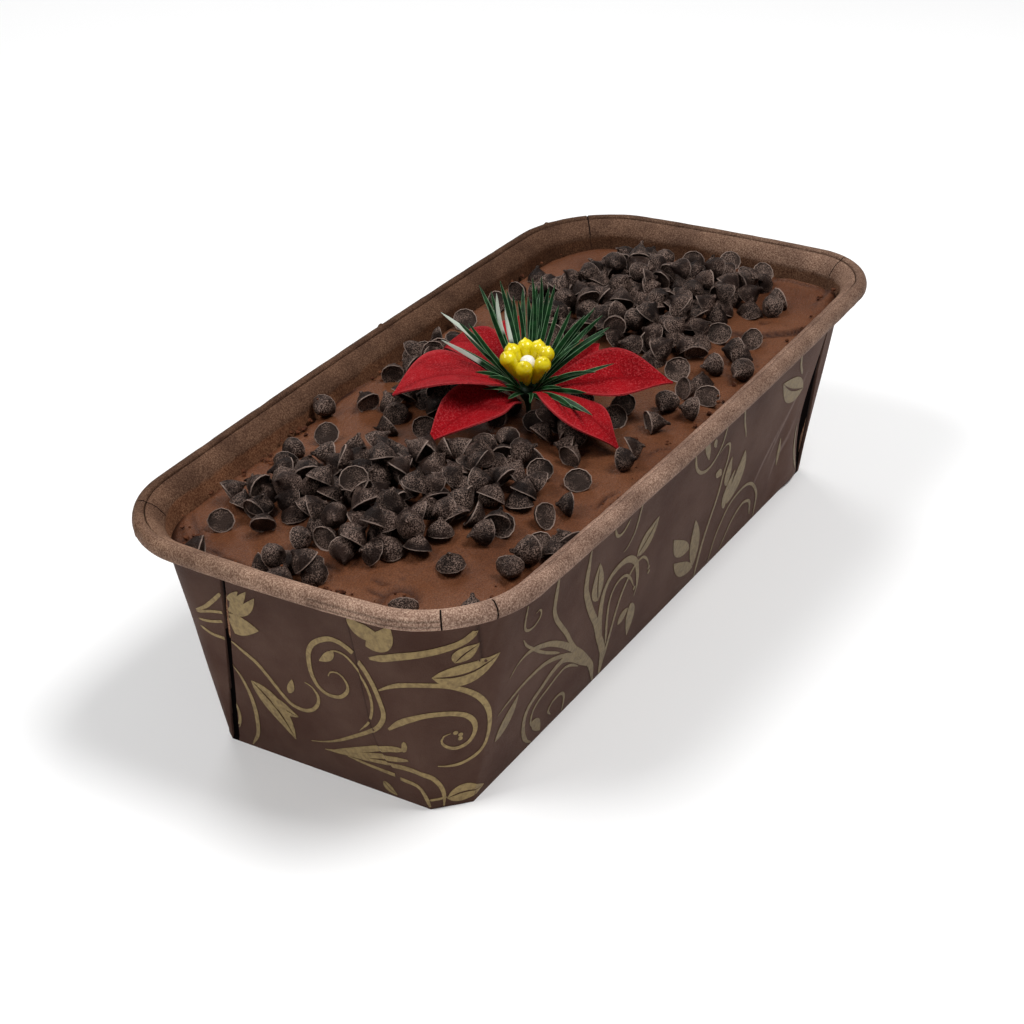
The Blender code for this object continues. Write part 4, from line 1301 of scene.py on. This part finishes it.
# The underside of the flower over each cell, read from its solids, which the chips stay below.
# Each triangle is looked at in a grid of spots with so many parts along its sides.
OPEN_SKY = 200.0
TRIANGLE_PARTS = 12
roof = np.full((cells_x, cells_y), OPEN_SKY)
shares = np.array([
    (a, b, TRIANGLE_PARTS - a - b)
    for a in range(TRIANGLE_PARTS + 1) for b in range(TRIANGLE_PARTS + 1 - a)
]) / TRIANGLE_PARTS
for name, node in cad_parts.items():
    if name in ("paper_mould", "frosted_cake"):
        continue
    node.data.calc_loop_triangles()
    corners = np.array([vertex.co for vertex in node.data.vertices]) / MM
    for triangle in node.data.loop_triangles:
        spots = shares @ corners[list(triangle.vertices)]
        i, j = cells_of(spots)
        np.minimum.at(roof, (i, j), spots[:, 2])


def is_inside(border, x, y):
    """How far inside a border a spot lies, or -1 outside it."""
    crossings = 0
    nearest = 1e9
    for (ax, ay), (bx, by) in zip(border, border[1:] + border[:1]):
        if (ay > y) != (by > y) and x < ax + (y - ay) * (bx - ax) / (by - ay):
            crossings += 1
        along = ((x - ax) * (bx - ax) + (y - ay) * (by - ay)) / ((bx - ax) ** 2 + (by - ay) ** 2)
        along = min(1.0, max(0.0, along))
        nearest = min(nearest, math.hypot(ax + (bx - ax) * along - x, ay + (by - ay) * along - y))
    return nearest if crossings % 2 else -1.0


# Layer by layer, spots no nearer to each other than the layer's spacing
borders = []
for pixels in HEAP_BORDERS:
    spots = [seen_at(across, down, CHIP_LEVEL) for across, down in pixels]
    borders.append([(spot.x, spot.y) for spot in spots])
chip_spots = []
for spacing, inside_by in LAYERS:
    layer_spots = []
    misses = 0
    while misses < SPOT_MISSES:
        border = borders[draw.choice(len(borders), p=BORDER_SHARES)]
        xs, ys = zip(*border)
        x = draw.uniform(min(xs), max(xs))
        y = draw.uniform(min(ys), max(ys))
        near = any(math.hypot(x - a, y - b) < spacing for a, b in layer_spots)
        if near or is_inside(border, x, y) < inside_by:
            misses += 1
            continue
        layer_spots.append((x, y))
        misses = 0
    if not chip_spots:
        for across, down, lies in STRAYS:
            spot = seen_at(across, down, CHIP_LEVEL)
            spot = seen_at(across, down, frosting_at(spot.x, spot.y)[0] + CHIP_HALF)
            layer_spots = [
                other for other in layer_spots
                if math.hypot(other[0] - spot.x, other[1] - spot.y) > STRAY_SPACING
            ]
            chip_spots.append((spot.x, spot.y, lies))
    chip_spots += [(x, y, "any") for x, y in layer_spots]

chip_points = []
chip_polygons = []
chip_tones = []
chip_rims = []
for x, y, lies in chip_spots:
    best = None
    for _ in range(CHIP_TRIES):
        shape = chip_shape()
        heading = draw.uniform(0, 2 * math.pi)
        tilt = math.acos(draw.uniform(LEAST_COSINE, 1))
        if lies == "disc":
            # Its foot faces the front, leaning back
            heading = math.radians(CAMERA_HEADING + draw.uniform(-25, 25))
        if lies in CHIP_LEANS:
            tilt = math.radians(draw.uniform(*CHIP_LEANS[lies]))
        turn = Matrix.Rotation(heading, 3, "Z") @ Matrix.Rotation(tilt, 3, "X")
        turn = turn @ Matrix.Rotation(draw.uniform(0, 2 * math.pi), 3, "Z")
        loose = HEAP_SHIFT if lies == "any" else STRAY_SHIFT
        spot = (x + draw.uniform(-loose, loose), y + draw.uniform(-loose, loose), 0)
        points = (shape - (0, 0, CHIP_HEIGHT * 0.35)) @ np.array(turn).T + spot
        i, j = cells_of(points)
        rest = float(np.percentile(ground[i, j] - points[:, 2], REST_PERCENT)) - CHIP_SINK
        if np.any(points[:, 2] + rest > roof[i, j] - CHIP_TO_PETAL):
            continue
        if best is None or rest + points[:, 2].max() < best[0]:
            best = (rest + points[:, 2].max(), points + (0, 0, rest))
    if best is None:
        continue
    points = best[1]
    start = len(chip_points)
    i, j = cells_of(points)
    np.maximum.at(ground, (i, j), points[:, 2])
    chip_points += list(points)
    chip_polygons += [tuple(start + index for index in face) for face in chip_faces]
    chip_tones += [draw.uniform(0, 1)] * len(points)
    for ring_dust in CHIP_RING_DUST:
        chip_rims += [ring_dust] * CHIP_SIDES

chips = join_points("chocolate_chips", chip_points, chip_polygons)
add_shade(chips.data, "tone", chip_tones)
add_shade(chips.data, "rim", chip_rims)
smooth_shade(chips, 48)

CHIP_DARK = (0.0045, 0.0018, 0.0013)
CHIP_BROWN = (0.020, 0.0095, 0.0066)
CHIP_DUST = (0.300, 0.205, 0.165)
CHIP_RIM = (0.370, 0.275, 0.230)
dark_chocolate, tree, shader = new_material("dark_chocolate", 0.5, 0.09)
dust = grain(tree, 3600, 3)
patches = grain(tree, 240, 3)
colour = mix(tree, CHIP_DARK, CHIP_BROWN, shade_of(tree, "tone"))
colour = mix(tree, colour, CHIP_DARK, ramp(tree, patches, (0.35, 0.8), (0.6, 0)))
specks = ramp(tree, dust, (0.45, 0), (0.64, 0.85))
dusty_parts = ramp(tree, grain(tree, 210, 2), (0.40, 0.06), (0.60, 1))
colour = mix(tree, colour, CHIP_DUST, sums(tree, "MULTIPLY", specks, dusty_parts))
worn_parts = ramp(tree, patches, (0.34, 0.25), (0.56, 1))
colour = mix(tree, colour, CHIP_RIM, sums(tree, "MULTIPLY", shade_of(tree, "rim"), worn_parts))
tree.links.new(colour, shader.inputs["Base Color"])
tree.links.new(sums(tree, "ADD", sums(tree, "MULTIPLY", dust, 0.5), 0.16), shader.inputs["Roughness"])
bump(tree, shader, dust, 0.0004)
chips.data.materials.append(dark_chocolate)
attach(chips, "root")
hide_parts("frosted_cake")


# The crumbs: bits of dark cake and shaved chocolate that fell along the paper, most of them where
# the knife tore the frosting. Each is a small uneven lump that lies on what is under it.
CRUMB_SIZES = (0.22, 0.75)
CRUMBS_ALONG_EDGE = 90
CRUMB_TO_PAPER = 0.4

# Each cluster has its middle as a pixel of the photo, its spread in mm and its number of crumbs
CRUMB_CLUSTERS = (
    (187, 547, 1.6, 12), (192, 538, 1.2, 4), (292, 430, 2.2, 20), (303, 424, 1.5, 10),
    (266, 456, 2.0, 15), (345, 597, 2.0, 7), (330, 592, 1.5, 4), (388, 600, 1.5, 3),
    (586, 546, 2.5, 6), (606, 530, 1.5, 4), (376, 380, 2.0, 4), (820, 300, 1.5, 4),
    (560, 280, 2.5, 5), (700, 250, 3.0, 5), (655, 440, 4.0, 3), (470, 590, 6.0, 4),
)

bpy.ops.mesh.primitive_ico_sphere_add(subdivisions=1, radius=1)
lump = bpy.context.active_object
lump_points = np.array([vertex.co for vertex in lump.data.vertices])
lump_faces = [tuple(face.vertices) for face in lump.data.polygons]
bpy.data.objects.remove(lump)

edge_line = [(point.x, point.y) for point in edge]
crumb_spots = []
for across, down, spread, count in CRUMB_CLUSTERS:
    spot = seen_at(across, down, FROSTING_TOP)
    for _ in range(count):
        crumb_spots.append((draw.normal(spot.x, spread), draw.normal(spot.y, spread)))
for _ in range(CRUMBS_ALONG_EDGE):
    x, y = edge_line[draw.randint(len(edge_line))]
    inward = 1 - abs(draw.normal(0, 2.2)) / math.hypot(x, y)
    crumb_spots.append((x * inward, y * inward))
crumb_points = []
crumb_faces = []
for x, y in crumb_spots:
    if is_inside(edge_line, x, y) < CRUMB_TO_PAPER:
        continue
    size = draw.uniform(*CRUMB_SIZES) ** 1.3
    rough = 1 + draw.uniform(-0.3, 0.3, (len(lump_points), 1))
    block = lump_points * rough * size * np.array((1, 1, 0.75))
    i, j = cells_of(np.array([(x, y, 0.0)]))
    start = len(crumb_points)
    crumb_points += list(block + (x, y, float(ground[i[0], j[0]]) + 0.25 * size))
    crumb_faces += [tuple(start + index for index in face) for face in lump_faces]
crumbs = join_points("cake_crumbs", crumb_points, crumb_faces)

CRUMB_DARK = (0.045, 0.014, 0.007)
CRUMB_BROWN = (0.120, 0.042, 0.019)
crumb_cake, tree, shader = new_material("crumb_cake", 0.7, 0.08)
colour = ramp(tree, grain(tree, 500, 3), (0.38, CRUMB_DARK), (0.62, CRUMB_BROWN))
tree.links.new(colour, shader.inputs["Base Color"])
bump(tree, shader, grain(tree, 2500, 3), 0.0003)
crumbs.data.materials.append(crumb_cake)
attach(crumbs, "root")
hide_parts("frosted_cake")


# The petals: seven die-cut leaves of stiff red cloth, embossed with fine dots and folded along
# the middle. Each is a grid shaped like its leaf and given the cloth's thickness.
HUB = (-7.1, -3.8, 57.0)
PETAL_START = 3.5
PETAL_CLOTH = 0.4
PETAL_ROOT = 0.75
PETAL_TIP = 0.25
PETAL_ROWS = 44
PETAL_COLUMNS = 16
PETAL_RIPPLE = 0.35
GROOVE_DEPTH = 0.35
GROOVE_HALF = 0.5
RIB_WIDTH = 0.10
CUT_EDGE_POWER = 24

# Heading, length, width, rise at the foot and at the tip, roll, fold, turn and the foot's height
PETALS = {
    "petal_left_front": (174, 31.2, 12.0, 28.5, -19.5, -20, 21, -6.5, 57.3),
    "petal_left": (134.5, 30.0, 28.5, 44.5, -28, 10, 7, 5, 58.9),
    "petal_left_back": (62, 37.0, 8.7, 29, -42, -27, 12, 6.5, 58.5),
    "petal_back": (41.5, 35.2, 10.6, 25.5, -15, 35, -23, -16, 56.9),
    "petal_right_back": (-3.7, 29.4, 10.2, 9.5, -4.5, 40.5, 34.5, 8.5, 55.0),
    "petal_right": (-59, 30.0, 13.0, 13.5, -6.5, 29, 22, -13, 59.1),
    "petal_right_front": (-112, 28.3, 14.3, 23.5, -52.5, -14, -5, 19, 59.6),
}


def ahead_of(pitch, yaw):
    """The direction with this rise and this turn to the left."""
    return Vector((math.cos(pitch) * math.cos(yaw), math.cos(pitch) * math.sin(yaw), math.sin(pitch)))


def petal_row(petal, share):
    """The points across a petal's middle surface at this share of its length."""
    heading, length, width, rise, tip_rise, roll, fold, yaw_most, foot = petal
    centre = Vector((PETAL_START, 0, foot))
    steps = max(1, round(24 * share))
    for k in range(steps):
        part = share * (k + 0.5) / steps
        pitch = math.radians(rise + (tip_rise - rise) * part)
        centre += ahead_of(pitch, math.radians(yaw_most * part)) * (share * length / steps)
    pitch = math.radians(rise + (tip_rise - rise) * share)
    yaw = math.radians(yaw_most * share)
    ahead = ahead_of(pitch, yaw)
    level = Vector((-math.sin(yaw), math.cos(yaw), 0))
    turned = Matrix.Rotation(math.radians(heading), 3, "Z")
    tilted = turned @ Matrix.Rotation(math.radians(roll), 3, ahead)
    left = tilted @ level
    up = tilted @ ahead.cross(level)
    centre = turned @ centre + Vector((HUB[0], HUB[1], 0))
    bulge = abs(math.sin(math.pi * share ** 1.1)) ** 1.4
    half_width = width / 2 * bulge + PETAL_ROOT * (1 - share) + PETAL_TIP
    turn_up = math.radians(fold)
    points = []
    for k in range(PETAL_COLUMNS + 1):
        v = 2 * k / PETAL_COLUMNS - 1
        ripple = PETAL_RIPPLE * math.sin(9 * share + 2 * v) * abs(v) * math.sin(math.pi * share)
        lift = abs(v) ** 1.3 * half_width * math.sin(turn_up) + ripple
        # The pressed groove along the middle
        lift -= GROOVE_DEPTH * math.exp(-(v * half_width / GROOVE_HALF) ** 2) * (1 - share)
        points.append(centre + left * (v * half_width * math.cos(turn_up)) + up * lift)
    return points


CLOTH_RED = (0.315, 0.0030, 0.0074)
CLOTH_DEEP = (0.21, 0.0016, 0.0045)
CLOTH_LIGHT = (0.46, 0.045, 0.050)
petal_cloth, tree, shader = new_material("petal_cloth", 0.6, 0.06)
speckle = grain(tree, 2300, 2, (1, 1, 1), 0.7)
dot_sheen = ramp(tree, speckle, (0.50, 0), (0.66, 0.70))
colour = ramp(tree, grain(tree, 150, 4), (0.36, CLOTH_DEEP), (0.58, CLOTH_RED))
# The embossed dots are painted lighter: a painted sheen on them
colour = mix(tree, colour, CLOTH_LIGHT, dot_sheen)
colour = mix(tree, colour, CLOTH_LIGHT, sums(tree, "MULTIPLY", shade_of(tree, "edge"), 0.75))
colour = mix(tree, colour, CLOTH_DEEP, sums(tree, "MULTIPLY", shade_of(tree, "rib"), 0.8))
tree.links.new(colour, shader.inputs["Base Color"])
bump(tree, shader, speckle, 0.0006)

for name, petal in PETALS.items():
    bpy.ops.mesh.primitive_grid_add(x_subdivisions=PETAL_COLUMNS, y_subdivisions=PETAL_ROWS, size=1)
    leaf = bpy.context.active_object
    leaf.name = "cloth_" + name
    leaf.data.name = leaf.name
    rows = [petal_row(petal, row / PETAL_ROWS) for row in range(PETAL_ROWS + 1)]
    spots = np.array([[tuple(point) for point in row[::-1]] for row in rows]) * MM
    leaf.data.vertices.foreach_set("co", spots.ravel())
    across = [abs(2 * k / PETAL_COLUMNS - 1) for k in range(PETAL_COLUMNS + 1)]
    add_shade(leaf.data, "edge", [v ** CUT_EDGE_POWER for v in across] * (PETAL_ROWS + 1))
    add_shade(leaf.data, "rib", [max(0.0, 1 - v / RIB_WIDTH) for v in across] * (PETAL_ROWS + 1))
    thicken = leaf.modifiers.new("cloth", "SOLIDIFY")
    thicken.thickness = PETAL_CLOTH * MM
    thicken.offset = 0.0
    bpy.ops.object.modifier_apply(modifier="cloth")
    smooth_shade(leaf, 60)
    leaf.data.materials.append(petal_cloth)
    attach(leaf, "root")
    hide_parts(name)


# The needles: blades of green film, some of them white, crimped into a dark hub on the pick that
# holds the flower. Each is a thin blade with a groove along it, wide at its middle, which bows a
# little and ends in a sharp tip.
NEEDLE_FOOT = (1.5, 1.6)
NEEDLE_HALF = 0.52
NEEDLE_THICK = 0.16
NEEDLE_RINGS = 12
NEEDLE_BOW = 0.9
NEEDLE_SIDEWAYS = 0.6
BLADE_SIDES = 6
# How much painted highlight each side of a blade gets
BLADE_EDGE_HIGHLIGHTS = (1.0, 0.25, 0.0, 0.25, 1.0, 0.0)
FACES_TO = Vector((-0.62, -0.40, 0.68))

# Each needle's tip as a pixel of the photo and its height in mm, and 1 for a white one
NEEDLE_TIPS = (
    (479, 285, 78, 0), (500, 281, 79, 0), (496.5, 293, 78, 1), (506.5, 290, 77, 0),
    (513, 296, 76, 0), (523, 287.5, 77, 0), (532.5, 278, 80.5, 0), (537, 286, 78, 0),
    (541.5, 276, 81, 0), (539, 293, 75, 0), (555, 285, 79, 0), (441, 312.5, 74, 1),
    (441.5, 340, 67, 1), (458.5, 322, 74, 0), (468.5, 323, 75, 0), (505, 305.5, 74, 1),
    (487, 300, 77, 0), (595, 308, 75, 0), (585, 315.5, 74, 0), (575, 323, 72, 0),
    (610, 327, 71, 0), (605, 333.5, 70, 0), (596.5, 337, 68, 0), (582.5, 340, 70, 0),
    (475, 372, 66.5, 0), (482.5, 389, 66, 0), (480, 350, 68, 0), (614, 363.5, 66, 0),
    (596.5, 372, 64.5, 0), (586.5, 393, 62.6, 0), (560, 376, 64.5, 0), (592.5, 415.5, 62.4, 0),
    (582.5, 411.5, 63.4, 0), (572.5, 408, 64.0, 0), (546, 371.5, 66, 0), (488, 377, 65, 0),
    (464, 333, 71, 0), (590, 325, 72, 0), (452, 345, 66, 0), (508, 399, 61.5, 0), (546, 402, 61, 0),
    (571, 311, 75, 0), (562, 388, 63, 0), (497, 393, 62, 0), (530, 403, 60.5, 0),
    (518, 300, 76, 0), (549, 287, 78, 0), (559, 305, 75, 0), (528, 296, 75, 0), (491, 291, 77, 0),
    (580, 331, 70, 0), (603, 315, 73, 0), (505, 385, 64, 0), (555, 405, 61.5, 0),
)


def cup_radius(height):
    """How far from the flower's middle the needles stay, so as to clear the cup of beads."""
    return 7.0 * step_up(height, 59.0, 66.0) * (1 - step_up(height, 68.5, 70.0))


def blade_middle(foot, tip, out, clear, up, t):
    """A needle's middle at a share of its length, bowed up and out."""
    bow = math.sin(math.pi * t)
    return foot + (tip - foot) * t + out * (clear * bow) + Vector((0, 0, up * bow))


def blade(index, across, down, height):
    """The points of one needle, ring by ring of six round its blade."""
    tip = seen_at(across, down, height)
    out = Vector((tip.x - HUB[0], tip.y - HUB[1], 0)).normalized()
    foot = Vector(HUB) + out * NEEDLE_FOOT[0] + Vector((0, 0, NEEDLE_FOOT[1]))
    ahead = (tip - foot).normalized()
    length = (tip - foot).length
    side = ahead.cross(FACES_TO).normalized()
    above = side.cross(ahead)
    twist = 0.35 * math.sin(index * 1.7)
    wide = NEEDLE_HALF * min(1.0, 0.55 + length / 45) * (1 + 0.12 * math.sin(index * 2.9))
    clear = 0.0
    while any(
        math.hypot(spot.x - HUB[0], spot.y - HUB[1]) < cup_radius(spot.z)
        for spot in (blade_middle(foot, tip, out, clear, NEEDLE_BOW, k / 20) for k in range(1, 20))
    ):
        clear += 0.4
    rings = []
    for k in range(NEEDLE_RINGS + 1):
        t = k / NEEDLE_RINGS
        sideways = NEEDLE_SIDEWAYS * math.sin(math.pi * t) * math.sin(index * 2.4)
        centre = blade_middle(foot, tip, out, clear, NEEDLE_BOW, t) + side * sideways
        turned = twist * (0.4 + t)
        flat = side * math.cos(turned) + above * math.sin(turned)
        up = above * math.cos(turned) - side * math.sin(turned)
        half = wide * (0.45 + 0.55 * step_up(t, 0.0, 0.5)) * (1 - t ** 7) + 0.05
        thick = NEEDLE_THICK * (1 - 0.6 * t)
        rings.append([
            centre + flat * half, centre + up * thick + flat * half * 0.55, centre + up * 0.02,
            centre + up * thick - flat * half * 0.55, centre - flat * half, centre - up * thick * 0.7,
        ])
    return rings


needle_points = []
needle_faces = []
needle_tones = []
needle_edge_highlights = []
for index, (across, down, height, white) in enumerate(NEEDLE_TIPS):
    start = len(needle_points)
    rings = blade(index, across, down, height)
    for row, ring in enumerate(rings):
        needle_points += ring
        needle_tones += [white * step_up(row / NEEDLE_RINGS, 0.35, 0.65)] * BLADE_SIDES
        needle_edge_highlights += BLADE_EDGE_HIGHLIGHTS
    last = start + BLADE_SIDES * (len(rings) - 1)
    needle_faces.append([start + k for k in range(BLADE_SIDES)])
    needle_faces.append([last + k for k in range(BLADE_SIDES)][::-1])
    for row in range(len(rings) - 1):
        for k in range(BLADE_SIDES):
            a = start + BLADE_SIDES * row + k
            b = start + BLADE_SIDES * row + (k + 1) % BLADE_SIDES
            needle_faces.append([a, a + BLADE_SIDES, b + BLADE_SIDES, b])
needles = join_points("film_needles", needle_points, needle_faces)
add_shade(needles.data, "tone", needle_tones)
add_shade(needles.data, "edge", needle_edge_highlights)
select_only(needles)
bpy.ops.object.mode_set(mode="EDIT")
bpy.ops.mesh.select_all(action="SELECT")
bpy.ops.mesh.normals_make_consistent(inside=False)
bpy.ops.object.mode_set(mode="OBJECT")
smooth_shade(needles, 40)

NEEDLE_GREEN = (0.0020, 0.014, 0.0042)
NEEDLE_LIGHT = (0.0085, 0.048, 0.0120)
NEEDLE_EDGE_HIGHLIGHT = (0.190, 0.350, 0.190)
NEEDLE_WHITE = (0.45, 0.50, 0.43)
film, tree, shader = new_material("needle_film", 0.4, 0.10)
streaks = grain(tree, 500, 3)
colour = ramp(tree, streaks, (0.38, NEEDLE_GREEN), (0.70, NEEDLE_LIGHT))
# The blades' side edges are painted light green: a painted highlight
lit_edge = ramp(tree, shade_of(tree, "edge"), (0.55, 0), (1.0, 0.85))
colour = mix(tree, colour, NEEDLE_EDGE_HIGHLIGHT, lit_edge)
white = ramp(tree, shade_of(tree, "tone"), (0.45, 0), (0.7, 1))
tree.links.new(mix(tree, colour, NEEDLE_WHITE, white), shader.inputs["Base Color"])
bump(tree, shader, streaks, 0.00012)
needles.data.materials.append(film)
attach(needles, "root")
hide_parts("pick_needles")

# The hub: dark green film bound round the pick's wire
HUB_SIDES = 20
HUB_PROFILE = ((0.5, -5.0), (0.6, -2.2), (0.9, -1.0), (1.7, 0.6), (2.1, 1.8), (1.4, 3.0))
rings = []
for radius, height in HUB_PROFILE:
    ring = []
    for k in range(HUB_SIDES):
        angle = 2 * math.pi * k / HUB_SIDES
        wrapped = radius * (1 + 0.06 * math.sin(5 * angle + height * 2))
        ring.append(Vector((
            HUB[0] + wrapped * math.cos(angle), HUB[1] + wrapped * math.sin(angle), HUB[2] + height
        )))
    rings.append(ring)
hub = wrap_sheet("pick_hub", rings)
smooth_shade(hub, 60)
HUB_DARK = (0.003, 0.008, 0.004)
HUB_GREEN = (0.008, 0.022, 0.008)
hub_film, tree, shader = new_material("hub_green", 0.5, 0.15)
colour = ramp(tree, grain(tree, 500, 3), (0.3, HUB_DARK), (0.7, HUB_GREEN))
tree.links.new(colour, shader.inputs["Base Color"])
bump(tree, shader, grain(tree, 1500, 3), 0.0002)
hub.data.materials.append(hub_film)
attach(hub, "root")
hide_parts("pick_needles")


# The stamens: seven drops of yellow lacquer on short stalks in a ring, round a white bead. Each
# was dipped on the end of a wire, which left a small nub on its head.
BEAD_RING = Vector((-7.2, -4.3, 67.0))
BEAD_RING_RADIUS = 4.4
BEAD_RING_TILT = 9.0
BEAD_RING_FACING = -146.5
BEAD_RADIUS = 1.95
BEAD_ANGLES = (0, -41, -87, -126, -166, 138, 78)
BEAD_NUB = 0.22
NUB_FROM = 0.98
STALK_LENGTH = 6.2
STALK_SPREAD = 1.5
STALK_WIDTH = 0.24
DROP_SWELL = 0.68
PEARL_RADIUS = 1.8
PEARL_DEPTH = 1.3

lean = math.radians(BEAD_RING_TILT)
facing = math.radians(BEAD_RING_FACING)
front = Vector((math.cos(facing), math.sin(facing), 0))
ring_axis = (Vector((0, 0, 1)) * math.cos(lean) + front * math.sin(lean)).normalized()
ring_first = front.cross(ring_axis).normalized()
ring_second = ring_axis.cross(ring_first)
beads = []
for degrees in BEAD_ANGLES:
    angle = math.radians(degrees)
    out = ring_first * math.cos(angle) + ring_second * math.sin(angle)
    head = BEAD_RING + out * BEAD_RING_RADIUS
    root = BEAD_RING - ring_axis * STALK_LENGTH + out * STALK_SPREAD
    bpy.ops.mesh.primitive_uv_sphere_add(segments=24, ring_count=20, radius=1)
    bead = bpy.context.active_object
    along = head - root
    turn = along.to_track_quat("Z", "Y").to_matrix()
    for vertex in bead.data.vertices:
        point = vertex.co.copy()
        if point.z < 0:
            # The drop's body narrows down to its stalk
            down = -point.z
            narrow = (1 - down ** 1.6) * DROP_SWELL + STALK_WIDTH
            flat = math.hypot(point.x, point.y) or 1.0
            length = along.length / BEAD_RADIUS
            point = Vector((point.x / flat * narrow, point.y / flat * narrow, -down * length))
            if down > 0.999:
                point.x = point.y = 0
        elif point.z > NUB_FROM:
            point.z += BEAD_NUB * (point.z - NUB_FROM) / (1 - NUB_FROM)
        vertex.co = (head + turn @ (point * BEAD_RADIUS)) * MM
    beads.append(bead)
bpy.ops.object.select_all(action="DESELECT")
for bead in beads:
    bead.select_set(True)
bpy.context.view_layer.objects.active = beads[0]
bpy.ops.object.join()
stamens = bpy.context.active_object
stamens.name = "lacquer_beads"
smooth_shade(stamens)
LACQUER_DEEP = (0.60, 0.46, 0.004)
LACQUER_YELLOW = (0.78, 0.66, 0.008)
lacquer, tree, shader = new_material("yellow_lacquer", 0.22, 0.5)
colour = ramp(tree, grain(tree, 220, 3), (0.3, LACQUER_DEEP), (0.7, LACQUER_YELLOW))
tree.links.new(colour, shader.inputs["Base Color"])
shader.inputs["Subsurface Weight"].default_value = 0.1
shader.inputs["Subsurface Radius"].default_value = (0.002, 0.0015, 0.0003)
bump(tree, shader, grain(tree, 600, 2), 0.00015)
stamens.data.materials.append(lacquer)
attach(stamens, "root")
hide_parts("stamen_beads")

bpy.ops.mesh.primitive_uv_sphere_add(segments=28, ring_count=18, radius=PEARL_RADIUS * MM)
pearl = bpy.context.active_object
pearl.name = "white_bead"
pearl.data.transform(Matrix.Translation((BEAD_RING - ring_axis * PEARL_DEPTH) * MM))
smooth_shade(pearl)
PEARL_CREAM = (0.70, 0.68, 0.62)
PEARL_WHITE = (0.82, 0.81, 0.78)
white_lacquer, tree, shader = new_material("white_lacquer", 0.3, 0.5)
colour = ramp(tree, grain(tree, 400, 3), (0.3, PEARL_CREAM), (0.7, PEARL_WHITE))
tree.links.new(colour, shader.inputs["Base Color"])
pearl.data.materials.append(white_lacquer)
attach(pearl, "root")
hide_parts("stamen_pearl")
